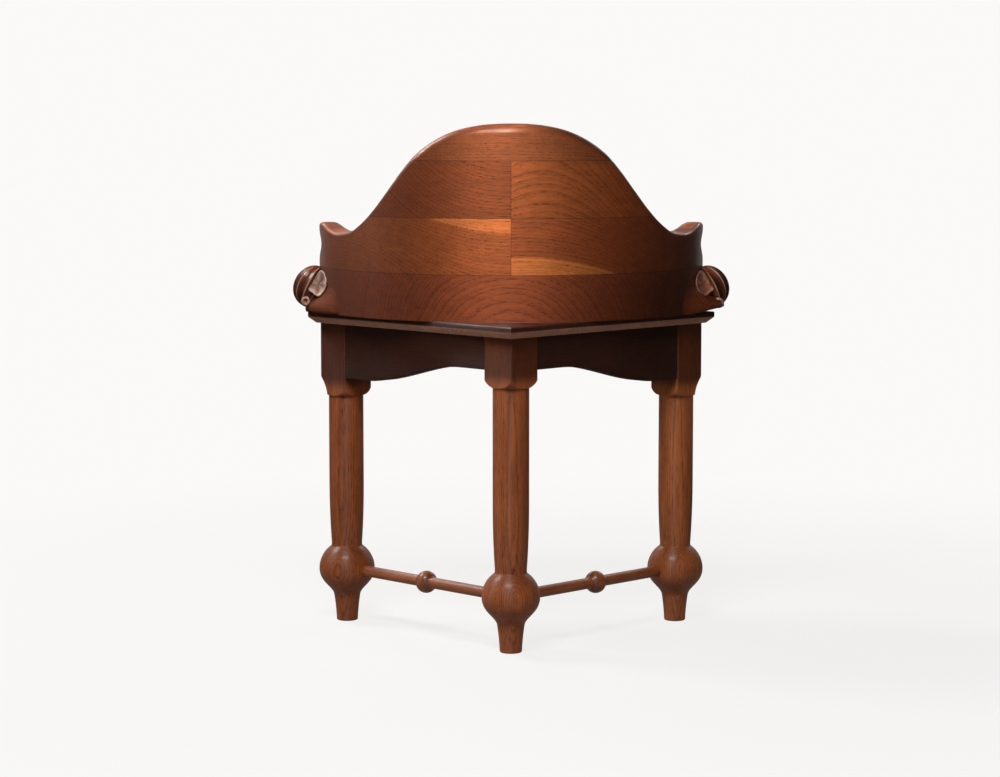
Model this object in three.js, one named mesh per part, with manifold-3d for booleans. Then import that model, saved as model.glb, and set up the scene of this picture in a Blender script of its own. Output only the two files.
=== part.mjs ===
// A three-legged wooden stool with a wrap-round laminated back.
// Millimetres, +Z up. The sitter faces -Y, so the back of the stool is towards +Y.
// The sitter's left is +X.
// The origin is on the floor under the middle of the seat board's length and width.
import * as THREE from "three";
import { mergeVertices } from "three/addons/utils/BufferGeometryUtils.js";
import Module from "manifold-3d";

const wasm = await Module();
wasm.setup();

// Driving dimensions
const LEG_SPACING = 314; // back leg to each front leg, centre to centre
const FRAME_ANGLE = Math.PI / 4; // between each side of the frame and the centre line
const SEAT_UNDERSIDE = 404; // height of the top of the frame above the floor

// Fits
const JOINT_GAP = 0.3; // glue space round tenons, dowels, tongues and at shoulders
const CUT_OVERRUN = 5; // how far a cutting solid runs past the surface it opens
const SLAB_REACH = 1000; // half the width of the slabs that part the glued-up blanks
const MERGE_DISTANCE = 1e-3; // points closer than this are one

// Seat
const SEAT_THICKNESS = 15;
const SEAT_OVERHANG = 37.5; // frame centre line to the seat's edge, on all three sides
const SEAT_CHAMFER_HEIGHT = 8;
const SEAT_CHAMFER_DEPTH = 8.5;
const SEAT_BOARD_COUNT = 4;
const SEAT_FRONT_STEPS = 36;
const TONGUE_THICKNESS = 4;
const TONGUE_WIDTH = 16;
const TONGUE_END_MARGIN = 30; // tongues stop this far short of the seat's edge

// Legs: a square block, a tapered shaft, a ball and a small foot
const BLOCK_SIDE = 49;
const BLOCK_ARRIS = 1.5;
const BACK_BLOCK_HEIGHT = 52;
const FRONT_BLOCK_HEIGHT = 79;
const BACK_SHOULDER_HEIGHT = 13; // rounded shoulder between block and shaft
const FRONT_SHOULDER_HEIGHT = 18;
const SHOULDER_STEPS = 5;
const SHAFT_RADIUS = 23.2;
const SHAFT_FULL_HEIGHT = 190; // the shaft reaches its full radius here
const NECK_RADIUS = 20.5;
const NECK_HEIGHT = 107;
const BALL_RADIUS = 37.4;
const BALL_CENTRE_HEIGHT = 71;
const ANKLE_RADIUS = 17.6;
const ANKLE_HEIGHT = 35;
const FOOT_RADIUS = 14.3;
const FOOT_EDGE = 1.2;
const BALL_TOP_STEP = 1; // ledge where the ball meets the neck
// Each hollow curve of the leg: how far its ends lean and reach, as shares of its width and height.
const FOOT_CURVE_SHARES = { leanLow: 0.13, reachLow: 0.37, leanHigh: 0.41, reachHigh: 0.26 };
const BELLY_CURVE_SHARES = { leanLow: 0.09, reachLow: 0.31, leanHigh: 0, reachHigh: 0.54 };
const SHAFT_CURVE_SHARES = { leanLow: 0.37, reachLow: 0.18, leanHigh: 0, reachHigh: 0.5 };
const LEG_FACETS = 28;
const LEG_CURVE_STEPS = 4;
const CORNER_COVE_RADIUS = 52; // hollow below the outer corner of each front block
const CORNER_COVE_DEPTH = 1.2; // how far outside the shaft the hollow stays
const CORNER_COVE_DROP = 23; // from the block's foot down to the hollow's middle
const COVE_FACETS = 48;

// Rails of the frame
const RAIL_THICKNESS = 22;
const RAIL_SETBACK = 1; // rail face behind the block's face
const SIDE_RAIL_BACK_DEPTH = 42.5;
const SIDE_RAIL_FRONT_DEPTH = 72.5;
const SIDE_CURVE_START_SHARE = 0.223; // of the leg spacing, from the back leg's centre
const SIDE_CURVE_END_SHARE = 0.796;
const FRONT_RAIL_END_DEPTH = 72.5;
const FRONT_RAIL_MIDDLE_DEPTH = 44;
const FRONT_CURVE_START_SHARE = 0.567; // of the leg spacing, from the centre line
const FRONT_CURVE_END_SHARE = 0.19;
const CYMA_EASE_SHARE = 0.45; // how far each end of the double curve stays level
const TENON_LENGTH = 19;
const TENON_THICKNESS = 8;
const TENON_TOP_SHOULDER = 9;
const TENON_BOTTOM_SHOULDER = 7;
const RAIL_ARC_STEPS = 28;

// Stretchers
const STRETCHER_RADIUS = 7.3;
const STRETCHER_SOCKET_DEPTH = 20;
const KNOB_RADIUS = 14.6;
const KNOB_HALF_LENGTH = 12.5;
const KNOB_FILLET = 4;
const STRETCHER_FACETS = 16;
const KNOB_CURVE_STEPS = 4;

// Corner braces and their screws
const BRACE_REACH_SHARE = 0.357; // of the leg spacing, from the leg's centre along each rail
const BRACE_WIDTH = 26; // along each rail
const BRACE_THICKNESS = 20;
const SCREW_RADIUS = 2.25;
const SCREW_LENGTH = 30;
const SCREW_HEAD_RADIUS = 4.4;
const SCREW_HEAD_HEIGHT = 2.6;
const SCREW_FACETS = 12;

// Back: five layers on a round plan
const BACK_RADIUS_SHARE = 0.844; // of the leg spacing, to the outer face
const BACK_SETBACK = 28; // outer face at the centre line, in front of the back leg's centre
const BACK_WALL = 36; // wall at the seat
const CREST_WALL = 28; // wall at the top of the crest
const ARM_ANGLE = THREE.MathUtils.degToRad(77);
const BASE_RAIL_HEIGHT = 60;
const LOWER_ROW_HEIGHT = 72;
const UPPER_ROW_HEIGHT = 73;
const CREST_HEIGHT = 47;
const ARM_DIP_HEIGHT = 111; // lowest point of the arm's top, above the seat
const ARM_TIP_RISE = 8.5;
const ARM_TIP_START_SHARE = 0.78; // of the arm's angle, where the arm's top starts to rise
const ARM_TIP_FULL_SHARE = 1;
const ARM_WAIST_DEPTH = 13; // hollow in the arm's front edge
const ARM_WAIST_BOTTOM = 70; // above the seat
const ARM_WAIST_TOP = 112;
const EDGE_ROUND = 9;
const BACK_STEPS = 44;
const WALL_LEVELS = 6;
// The top line from the centre line to the arm's dip. Each point is a share of the arm's angle
// and a share of the height above the dip.
const TOP_LINE_SHARES = [
  [0, 1],
  [0.13, 0.98],
  [0.22, 0.929],
  [0.31, 0.827],
  [0.37, 0.722],
  [0.43, 0.571],
  [0.49, 0.397],
  [0.55, 0.233],
  [0.61, 0.104],
  [0.71, 0],
];
const TOP_LINE_STEPS = 60;

// Dowels
const ROW_DOWEL_RADIUS = 5;
const ROW_DOWEL_DEPTH = 17; // into each row
const SEAT_DOWEL_RADIUS = 4;
const SEAT_DOWEL_DEPTH = 10; // into the seat
const BUTT_DOWEL_RADIUS = 4;
const BUTT_DOWEL_DEPTH = 18; // into each side of the butt joint
const SCROLL_DOWEL_RADIUS = 4;
const SCROLL_DOWEL_DEPTH = 14; // into the arm and into the scroll
const SCROLL_DOWEL_ANGLE_SHARE = 0.955;
const DOWEL_FACETS = 12;
const SEAT_DOWEL_ANGLE_SHARES = [0.28, 0.86];
const LOWER_DOWEL_ANGLE_SHARES = [0.26, 0.72];
const UPPER_DOWEL_ANGLE_SHARES = [0.16, 0.44];
const CREST_DOWEL_ANGLE_SHARES = [0.16];
const BUTT_DOWEL_HEIGHT_SHARES = [0.3, 0.7];

// Scrolls on the ends of the arms: a reeded bud, a hollow eye, a small ball and a flared foot
const SCROLL_ANGLE_SHARE = 0.985; // of the arm's angle
const SCROLL_PROUD = 9.3; // scroll's centre outside the arm's outer face
const SCROLL_CENTRE_RISE = 33; // above the seat
const SCROLL_BULGE = 26.5;
const SCROLL_HALF_HEIGHT = 29;
const SCROLL_TILT = THREE.MathUtils.degToRad(14);
const SCROLL_REEDS = 14;
const REED_DEPTH = 2.2;
const REED_FACETS = 4;
const SCROLL_RINGS = 10;
const EYE_FACETS = 16;
const EYE_RADIUS = 14;
const EYE_OFFSET_X = 2;
const EYE_OFFSET_BACK = 25;
const EYE_OFFSET_RISE = 4;
const SCROLL_BALL_RADIUS = 6.7;
const SCROLL_BALL_OFFSET_X = 10;
const SCROLL_BALL_OFFSET_BACK = 19;
const SCROLL_BALL_DROP = 19;
const SCROLL_BALL_FACETS = 12;
const FLARE_REACH = 23; // out from the arm's outer face
const FLARE_ROOT = 4; // behind that face, cut off by the arm
const FLARE_HEIGHT = 30; // above the seat, where it has run into the arm
const FLARE_FULL_HEIGHT = 12;
const FLARE_START_SHARE = 0.8; // of the arm's angle, where it leaves the arm's face
const FLARE_FULL_SHARE = 0.945;
const FLARE_STEPS = 12;
const FLARE_LEVELS = 6;

// Worked out from the driving dimensions
const SEAT_TOP = SEAT_UNDERSIDE + SEAT_THICKNESS;
const SEAT_FRONT_RADIUS = LEG_SPACING + SEAT_OVERHANG;
const SEAT_VERTEX = SEAT_OVERHANG / Math.sin(FRAME_ANGLE);
const BACK_LEG_Y = (SEAT_FRONT_RADIUS - SEAT_VERTEX) / 2;
const BACK_BLOCK_BOTTOM = SEAT_UNDERSIDE - BACK_BLOCK_HEIGHT;
const FRONT_BLOCK_BOTTOM = SEAT_UNDERSIDE - FRONT_BLOCK_HEIGHT;
const CORNER_COVE_HEIGHT = FRONT_BLOCK_BOTTOM - CORNER_COVE_DROP;
const SIDE_CURVE_START = LEG_SPACING * SIDE_CURVE_START_SHARE;
const SIDE_CURVE_END = LEG_SPACING * SIDE_CURVE_END_SHARE;
const FRONT_CURVE_START = LEG_SPACING * FRONT_CURVE_START_SHARE;
const FRONT_CURVE_END = LEG_SPACING * FRONT_CURVE_END_SHARE;
const BRACE_REACH = LEG_SPACING * BRACE_REACH_SHARE;
const BACK_RADIUS = LEG_SPACING * BACK_RADIUS_SHARE;
const BACK_CENTRE_Y = -BACK_SETBACK - BACK_RADIUS;
const BASE_TOP = SEAT_TOP + BASE_RAIL_HEIGHT;
const LOWER_TOP = BASE_TOP + LOWER_ROW_HEIGHT;
const UPPER_TOP = LOWER_TOP + UPPER_ROW_HEIGHT;
const CREST_TOP = UPPER_TOP + CREST_HEIGHT;
const HALF_BLOCK = BLOCK_SIDE / 2;
const SHOULDER_LINE = HALF_BLOCK + JOINT_GAP; // from a leg's centre to the rail's shoulder
const RAIL_OUTER = HALF_BLOCK - RAIL_SETBACK; // from the frame's centre line to the rail's face
const RAIL_INNER = RAIL_OUTER - RAIL_THICKNESS;
const TENON_MIDDLE = (RAIL_OUTER + RAIL_INNER) / 2;

// Finishes
const finish = (color, roughness, metalness = 0) =>
  new THREE.MeshStandardMaterial({ color, roughness, metalness });
const crestWood = finish("#9a5a33", 0.38);
const upperWood = finish("#8b4d2b", 0.4);
const lowerWood = finish("#945630", 0.4);
const baseWood = finish("#7d452a", 0.42);
const seatWood = finish("#7a4429", 0.4);
const legWood = finish("#84482a", 0.38);
const railWood = finish("#6f3c25", 0.45);
const plainWood = finish("#b98d5e", 0.7);
const screwSteel = finish("#8f8a80", 0.35, 1);

// Solids and meshes
function toSolid(geometry) {
  const bare = geometry.clone();
  bare.deleteAttribute("normal");
  bare.deleteAttribute("uv");
  const merged = mergeVertices(bare, MERGE_DISTANCE);
  return new wasm.Manifold(
    new wasm.Mesh({
      numProp: 3,
      vertProperties: new Float32Array(merged.attributes.position.array),
      triVerts: new Uint32Array(merged.index.array),
    }),
  );
}

function toGeometry(solid) {
  const mesh = solid.getMesh();
  const geometry = new THREE.BufferGeometry();
  geometry.setAttribute("position", new THREE.BufferAttribute(mesh.vertProperties, mesh.numProp));
  geometry.setIndex(new THREE.BufferAttribute(mesh.triVerts, 1));
  geometry.computeVertexNormals();
  return geometry;
}

function cut(solid, ...tools) {
  return tools.reduce((left, tool) => left.subtract(tool), solid);
}

function makeMesh(name, solid, material) {
  const mesh = new THREE.Mesh(toGeometry(solid), material);
  mesh.name = name;
  return mesh;
}

// A box from its lowest and highest corners.
function boxSolid(low, high) {
  const box = new THREE.BoxGeometry(high[0] - low[0], high[1] - low[1], high[2] - low[2]);
  box.translate((low[0] + high[0]) / 2, (low[1] + high[1]) / 2, (low[2] + high[2]) / 2);
  return toSolid(box);
}

// A closed solid through rings of points that all have the same count, the first ring lowest.
function loftSolid(rings) {
  const count = rings[0].length;
  const positions = rings.flat().flatMap((point) => [point.x, point.y, point.z]);
  const faces = [];
  for (let ring = 0; ring + 1 < rings.length; ring += 1) {
    for (let i = 0; i < count; i += 1) {
      const a = ring * count + i;
      const b = ring * count + ((i + 1) % count);
      faces.push(a, b, b + count, a, b + count, a + count);
    }
  }
  const last = (rings.length - 1) * count;
  for (let i = 1; i + 1 < count; i += 1) {
    faces.push(0, i + 1, i);
    faces.push(last, last + i, last + i + 1);
  }
  const geometry = new THREE.BufferGeometry();
  geometry.setAttribute("position", new THREE.Float32BufferAttribute(positions, 3));
  geometry.setIndex(faces);
  return toSolid(geometry);
}

// A round bar between two points.
function barSolid(from, to, radius, facets) {
  const along = new THREE.Vector3().subVectors(to, from);
  const bar = new THREE.CylinderGeometry(radius, radius, along.length(), facets);
  const turn = new THREE.Quaternion().setFromUnitVectors(
    new THREE.Vector3(0, 1, 0),
    along.clone().normalize(),
  );
  bar.applyQuaternion(turn);
  bar.translate((from.x + to.x) / 2, (from.y + to.y) / 2, (from.z + to.z) / 2);
  return toSolid(bar);
}

// A turned solid standing on the Z axis from its outline of [radius, height] points.
function turnedSolid(outline, facets) {
  const lathe = new THREE.LatheGeometry(
    outline.map(([radius, height]) => new THREE.Vector2(radius, height)),
    facets,
  );
  lathe.rotateX(Math.PI / 2);
  return toSolid(lathe);
}

// A dowel with its bore, which is longer and wider by the joint gap.
function dowel(name, middle, direction, radius, depthBefore, depthAfter) {
  const end = (reach) => middle.clone().addScaledVector(direction, reach);
  return {
    name,
    pin: barSolid(end(-depthBefore), end(depthAfter), radius, DOWEL_FACETS),
    bore: barSolid(
      end(-depthBefore - JOINT_GAP),
      end(depthAfter + JOINT_GAP),
      radius + JOINT_GAP,
      DOWEL_FACETS,
    ),
  };
}

// Places on the frame. Side is 1 for the sitter's left and -1 for the right.
const SIDES = [
  { side: 1, word: "left" },
  { side: -1, word: "right" },
];
const alongSide = (side) =>
  new THREE.Vector2(side * Math.sin(FRAME_ANGLE), -Math.cos(FRAME_ANGLE));
const outOfSide = (side) =>
  new THREE.Vector2(side * Math.cos(FRAME_ANGLE), Math.sin(FRAME_ANGLE));
const frontLeg = (side) => alongSide(side).multiplyScalar(LEG_SPACING);

// Lays a solid drawn along +X, its outside towards +Y, along a line of the frame.
function layAlong(solid, start, along, out) {
  const matrix = new THREE.Matrix4().makeBasis(
    new THREE.Vector3(along.x, along.y, 0),
    new THREE.Vector3(out.x, out.y, 0),
    new THREE.Vector3(0, 0, 1),
  );
  matrix.setPosition(start.x, start.y, 0);
  return solid.transform(matrix.toArray());
}

// Legs
// Carries the outline on to a point by a double curve.
function curveTo(path, radius, height, shares) {
  const from = path.currentPoint;
  const width = radius - from.x;
  const rise = height - from.y;
  path.bezierCurveTo(
    from.x + width * shares.leanLow, from.y + rise * shares.reachLow,
    radius - width * shares.leanHigh, height - rise * shares.reachHigh,
    radius, height,
  );
}

function legOutline() {
  const outline = new THREE.Path();
  outline.moveTo(0, 0);
  outline.lineTo(FOOT_RADIUS - FOOT_EDGE, 0);
  outline.lineTo(FOOT_RADIUS, FOOT_EDGE);
  curveTo(outline, ANKLE_RADIUS, ANKLE_HEIGHT, FOOT_CURVE_SHARES);
  curveTo(outline, BALL_RADIUS, BALL_CENTRE_HEIGHT, BELLY_CURVE_SHARES);
  const crownAngle = Math.acos((NECK_RADIUS + BALL_TOP_STEP) / BALL_RADIUS);
  outline.absarc(0, BALL_CENTRE_HEIGHT, BALL_RADIUS, 0, crownAngle, false);
  outline.lineTo(NECK_RADIUS, NECK_HEIGHT);
  curveTo(outline, SHAFT_RADIUS, SHAFT_FULL_HEIGHT, SHAFT_CURVE_SHARES);
  return outline.getPoints(LEG_CURVE_STEPS).map((point) => [point.x, point.y]);
}

function legSolid(centre, blockBottom, shoulderHeight, tools) {
  const top = SEAT_UNDERSIDE;
  const half = HALF_BLOCK;
  const outline = [...legOutline(), [SHAFT_RADIUS, blockBottom], [0, blockBottom]];
  const shaft = turnedSolid(outline, LEG_FACETS);
  const shoulderLow = blockBottom - shoulderHeight;
  const beyond = BLOCK_SIDE; // outside the block's corners
  const quarter = new THREE.Path();
  const width = half * Math.SQRT2 - SHAFT_RADIUS;
  quarter.absellipse(SHAFT_RADIUS, blockBottom, width, shoulderHeight, -Math.PI / 2, 0, false);
  const ovolo = quarter.getPoints(SHOULDER_STEPS).map((point) => [point.x, point.y]);
  const shoulder = turnedSolid(
    [
      [0, shoulderLow],
      ...ovolo,
      [beyond, blockBottom],
      [beyond, top + CUT_OVERRUN],
      [0, top + CUT_OVERRUN],
    ],
    LEG_FACETS,
  );
  const corner = half - BLOCK_ARRIS;
  const square = new THREE.Shape([
    new THREE.Vector2(half, -corner),
    new THREE.Vector2(half, corner),
    new THREE.Vector2(corner, half),
    new THREE.Vector2(-corner, half),
    new THREE.Vector2(-half, corner),
    new THREE.Vector2(-half, -corner),
    new THREE.Vector2(-corner, -half),
    new THREE.Vector2(corner, -half),
  ]);
  const prism = new THREE.ExtrudeGeometry(square, { depth: top - shoulderLow, bevelEnabled: false });
  prism.rotateZ(FRAME_ANGLE);
  prism.translate(0, 0, shoulderLow);
  const block = toSolid(prism).intersect(shoulder);
  return cut(shaft.add(block).translate([centre.x, centre.y, 0]), ...tools);
}

// The hollow below the outer corner of a front leg's block.
function cornerCove(side) {
  const centre = frontLeg(side);
  const axisX = centre.x + side * (SHAFT_RADIUS + CORNER_COVE_DEPTH + CORNER_COVE_RADIUS);
  return barSolid(
    new THREE.Vector3(axisX, centre.y - BLOCK_SIDE, CORNER_COVE_HEIGHT),
    new THREE.Vector3(axisX, centre.y + BLOCK_SIDE, CORNER_COVE_HEIGHT),
    CORNER_COVE_RADIUS,
    COVE_FACETS,
  );
}

// Side rails: a board with a double curve below and a tenon at each end
function tenonBox(start, length, bottom, grow) {
  return boxSolid(
    [start - grow, TENON_MIDDLE - TENON_THICKNESS / 2 - grow, bottom + TENON_BOTTOM_SHOULDER - grow],
    [start + length + grow, TENON_MIDDLE + TENON_THICKNESS / 2 + grow,
      SEAT_UNDERSIDE - TENON_TOP_SHOULDER + grow],
  );
}

const sideRailBackTenon = (grow) =>
  tenonBox(SHOULDER_LINE - TENON_LENGTH, TENON_LENGTH + CUT_OVERRUN,
    SEAT_UNDERSIDE - SIDE_RAIL_BACK_DEPTH, grow);
const sideRailFrontTenon = (grow) =>
  tenonBox(LEG_SPACING - SHOULDER_LINE - CUT_OVERRUN, TENON_LENGTH + CUT_OVERRUN,
    SEAT_UNDERSIDE - SIDE_RAIL_FRONT_DEPTH, grow);

function sideRailSolid(side) {
  const first = SHOULDER_LINE;
  const last = LEG_SPACING - SHOULDER_LINE;
  const backEdge = SEAT_UNDERSIDE - SIDE_RAIL_BACK_DEPTH;
  const frontEdge = SEAT_UNDERSIDE - SIDE_RAIL_FRONT_DEPTH;
  const ease = (SIDE_CURVE_END - SIDE_CURVE_START) * CYMA_EASE_SHARE;
  const board = new THREE.Shape();
  board.moveTo(first, backEdge);
  board.lineTo(SIDE_CURVE_START, backEdge);
  board.bezierCurveTo(SIDE_CURVE_START + ease, backEdge, SIDE_CURVE_END - ease, frontEdge,
    SIDE_CURVE_END, frontEdge);
  board.lineTo(last, frontEdge);
  board.lineTo(last, SEAT_UNDERSIDE);
  board.lineTo(first, SEAT_UNDERSIDE);
  board.closePath();
  const plank = new THREE.ExtrudeGeometry(board, {
    depth: RAIL_THICKNESS,
    bevelEnabled: false,
    curveSegments: RAIL_ARC_STEPS,
  });
  plank.rotateX(Math.PI / 2);
  plank.translate(0, RAIL_OUTER, 0);
  const solid = toSolid(plank).add(sideRailBackTenon(0)).add(sideRailFrontTenon(0));
  return onSide(solid, side);
}

// Lays a solid drawn for a side rail on its side of the frame.
function onSide(solid, side) {
  return layAlong(solid, new THREE.Vector2(0, 0), alongSide(side), outOfSide(side));
}

// Front rail: part of a ring about the back leg, arched below
function frontTenonBox(side, grow) {
  const bottom = SEAT_UNDERSIDE - FRONT_RAIL_END_DEPTH;
  const solid = tenonBox(SHOULDER_LINE - TENON_LENGTH, TENON_LENGTH + CUT_OVERRUN * 2, bottom, grow);
  const leg = frontLeg(side);
  return layAlong(solid, leg, outOfSide(side).negate(), alongSide(side));
}

function frontRailSolid() {
  const outer = LEG_SPACING + RAIL_OUTER;
  const inner = LEG_SPACING + RAIL_INNER;
  const bottom = SEAT_UNDERSIDE - FRONT_RAIL_END_DEPTH;
  const middle = SEAT_UNDERSIDE - FRONT_RAIL_MIDDLE_DEPTH;
  const startAngle = (radius) => -Math.PI / 2 - FRAME_ANGLE + Math.asin(SHOULDER_LINE / radius);
  const endAngle = (radius) => -Math.PI / 2 + FRAME_ANGLE - Math.asin(SHOULDER_LINE / radius);
  const plan = new THREE.Shape();
  plan.absarc(0, 0, outer, startAngle(outer), endAngle(outer), false);
  plan.absarc(0, 0, inner, endAngle(inner), startAngle(inner), true);
  plan.closePath();
  const ring = new THREE.ExtrudeGeometry(plan, {
    depth: FRONT_RAIL_END_DEPTH,
    bevelEnabled: false,
    curveSegments: RAIL_ARC_STEPS,
  });
  ring.translate(0, 0, bottom);
  const ease = (FRONT_CURVE_START - FRONT_CURVE_END) * CYMA_EASE_SHARE;
  const arch = new THREE.Shape();
  arch.moveTo(-FRONT_CURVE_START, bottom);
  arch.bezierCurveTo(-FRONT_CURVE_START + ease, bottom, -FRONT_CURVE_END - ease, middle,
    -FRONT_CURVE_END, middle);
  arch.lineTo(FRONT_CURVE_END, middle);
  arch.bezierCurveTo(FRONT_CURVE_END + ease, middle, FRONT_CURVE_START - ease, bottom,
    FRONT_CURVE_START, bottom);
  arch.lineTo(FRONT_CURVE_START, bottom - CUT_OVERRUN);
  arch.lineTo(-FRONT_CURVE_START, bottom - CUT_OVERRUN);
  arch.closePath();
  const archCut = new THREE.ExtrudeGeometry(arch, {
    depth: outer * 2,
    bevelEnabled: false,
    curveSegments: RAIL_ARC_STEPS / 2,
  });
  archCut.rotateX(Math.PI / 2);
  return cut(toSolid(ring), toSolid(archCut)).add(frontTenonBox(1, 0)).add(frontTenonBox(-1, 0));
}

// Stretchers
function stretcherAxis(side) {
  const along = alongSide(side);
  const from = BALL_RADIUS - STRETCHER_SOCKET_DEPTH;
  const at = (reach) => new THREE.Vector3(along.x * reach, along.y * reach, BALL_CENTRE_HEIGHT);
  const mouth = BALL_RADIUS + CUT_OVERRUN;
  return {
    from: at(from),
    to: at(LEG_SPACING - from),
    inBack: at(mouth),
    inFront: at(LEG_SPACING - mouth),
  };
}

function stretcherSolid(side) {
  const half = LEG_SPACING / 2 - BALL_RADIUS + STRETCHER_SOCKET_DEPTH;
  const meet = KNOB_HALF_LENGTH + KNOB_FILLET / 2;
  const knob = new THREE.Path();
  knob.moveTo(0, -half);
  knob.lineTo(STRETCHER_RADIUS, -half);
  knob.lineTo(STRETCHER_RADIUS, -meet - KNOB_FILLET);
  knob.quadraticCurveTo(STRETCHER_RADIUS, -KNOB_HALF_LENGTH, STRETCHER_RADIUS + KNOB_FILLET / 2,
    -KNOB_HALF_LENGTH + KNOB_FILLET / 2);
  knob.bezierCurveTo(KNOB_RADIUS, -KNOB_HALF_LENGTH / 2, KNOB_RADIUS, -KNOB_FILLET / 2, KNOB_RADIUS, 0);
  knob.bezierCurveTo(KNOB_RADIUS, KNOB_FILLET / 2, KNOB_RADIUS, KNOB_HALF_LENGTH / 2,
    STRETCHER_RADIUS + KNOB_FILLET / 2, KNOB_HALF_LENGTH - KNOB_FILLET / 2);
  knob.quadraticCurveTo(STRETCHER_RADIUS, KNOB_HALF_LENGTH, STRETCHER_RADIUS, meet + KNOB_FILLET);
  knob.lineTo(STRETCHER_RADIUS, half);
  knob.lineTo(0, half);
  const bar = new THREE.LatheGeometry(knob.getPoints(KNOB_CURVE_STEPS), STRETCHER_FACETS);
  const along = alongSide(side);
  bar.rotateZ(Math.atan2(along.y, along.x) - Math.PI / 2);
  bar.translate(along.x * LEG_SPACING / 2, along.y * LEG_SPACING / 2, BALL_CENTRE_HEIGHT);
  return toSolid(bar);
}

// Seat: one outline, drawn in by an inset, lofted with its chamfer and parted into boards
function seatOutline(inset, height) {
  const edge = SEAT_OVERHANG - inset;
  const radius = LEG_SPACING + edge;
  const vertex = edge / Math.sin(FRAME_ANGLE);
  const cornerAngle = -Math.PI / 2 + FRAME_ANGLE + Math.asin(edge / radius);
  const points = [new THREE.Vector3(0, vertex, height)];
  for (let i = 0; i <= SEAT_FRONT_STEPS; i += 1) {
    const angle = THREE.MathUtils.lerp(-Math.PI - cornerAngle, cornerAngle, i / SEAT_FRONT_STEPS);
    points.push(new THREE.Vector3(radius * Math.cos(angle), radius * Math.sin(angle), height));
  }
  return points;
}

function seatBlank() {
  return loftSolid([
    seatOutline(SEAT_CHAMFER_DEPTH, SEAT_UNDERSIDE),
    seatOutline(0, SEAT_UNDERSIDE + SEAT_CHAMFER_HEIGHT),
    seatOutline(0, SEAT_TOP),
  ]);
}

const seatJointY = (index) =>
  THREE.MathUtils.lerp(SEAT_VERTEX, -SEAT_FRONT_RADIUS, index / SEAT_BOARD_COUNT);

// Half the seat's width where a joint crosses it.
function seatHalfWidth(y) {
  const onSides = SEAT_VERTEX - y;
  const onFront = Math.sqrt(SEAT_FRONT_RADIUS ** 2 - y ** 2);
  return Math.min(onSides * Math.tan(FRAME_ANGLE), onFront);
}

function seatTongue(index, grow) {
  const y = seatJointY(index);
  const halfLength = seatHalfWidth(y) - TONGUE_END_MARGIN;
  const middle = SEAT_UNDERSIDE + SEAT_THICKNESS / 2;
  return boxSolid(
    [-halfLength - grow, y - TONGUE_WIDTH / 2 - grow, middle - TONGUE_THICKNESS / 2 - grow],
    [halfLength + grow, y + TONGUE_WIDTH / 2 + grow, middle + TONGUE_THICKNESS / 2 + grow],
  );
}

// Back: one wall swept along the round plan
const topLine = new THREE.CatmullRomCurve3(
  TOP_LINE_SHARES.map(([angle, height]) => new THREE.Vector3(angle, height, 0)),
).getPoints(TOP_LINE_STEPS);

// The height of the top line above the seat, at a share of the arm's angle.
function topLineHeight(share) {
  const reach = Math.abs(share);
  const crest = CREST_TOP - SEAT_TOP - ARM_DIP_HEIGHT;
  const end = topLine.findIndex((point) => point.x >= reach);
  let rise = 0;
  if (end === 0) rise = topLine[0].y;
  if (end > 0) {
    const a = topLine[end - 1];
    const b = topLine[end];
    rise = THREE.MathUtils.lerp(a.y, b.y, (reach - a.x) / (b.x - a.x));
  }
  const tip = THREE.MathUtils.smoothstep(reach, ARM_TIP_START_SHARE, ARM_TIP_FULL_SHARE);
  return ARM_DIP_HEIGHT + crest * rise + ARM_TIP_RISE * tip;
}

// The angle at which the arm ends, drawn back at its waist.
function armEndAngle(height) {
  const share = THREE.MathUtils.clamp(
    (height - ARM_WAIST_BOTTOM) / (ARM_WAIST_TOP - ARM_WAIST_BOTTOM), 0, 1);
  return ARM_ANGLE - (ARM_WAIST_DEPTH / BACK_RADIUS) * Math.sin(Math.PI * share) ** 2;
}

function wallPoint(radius, share, height) {
  const angle = share * armEndAngle(height);
  return new THREE.Vector3(radius * Math.sin(angle), BACK_CENTRE_Y + radius * Math.cos(angle),
    SEAT_TOP + height);
}

const innerRadius = (height) =>
  BACK_RADIUS - THREE.MathUtils.lerp(BACK_WALL, CREST_WALL, height / (CREST_TOP - SEAT_TOP));

// The section's points run up the outer face, over the rounded top and down the inner face.
function wallSection(share, grow) {
  const top = topLineHeight(share) + grow;
  const shoulder = top - EDGE_ROUND;
  const outer = [];
  const inner = [];
  for (let i = 0; i <= WALL_LEVELS; i += 1) {
    const height = shoulder * (i / WALL_LEVELS) - (i === 0 ? grow : 0);
    outer.push(wallPoint(BACK_RADIUS + grow, share, height));
    inner.unshift(wallPoint(innerRadius(height) - grow, share, height));
  }
  const eased = EDGE_ROUND * (1 - Math.SQRT1_2);
  const over = [
    wallPoint(BACK_RADIUS + grow - eased, share, top - eased),
    wallPoint(BACK_RADIUS + grow - EDGE_ROUND, share, top),
    wallPoint(innerRadius(top) - grow + EDGE_ROUND, share, top),
    wallPoint(innerRadius(top) - grow + eased, share, top - eased),
  ];
  return [...outer, ...over, ...inner];
}

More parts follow.
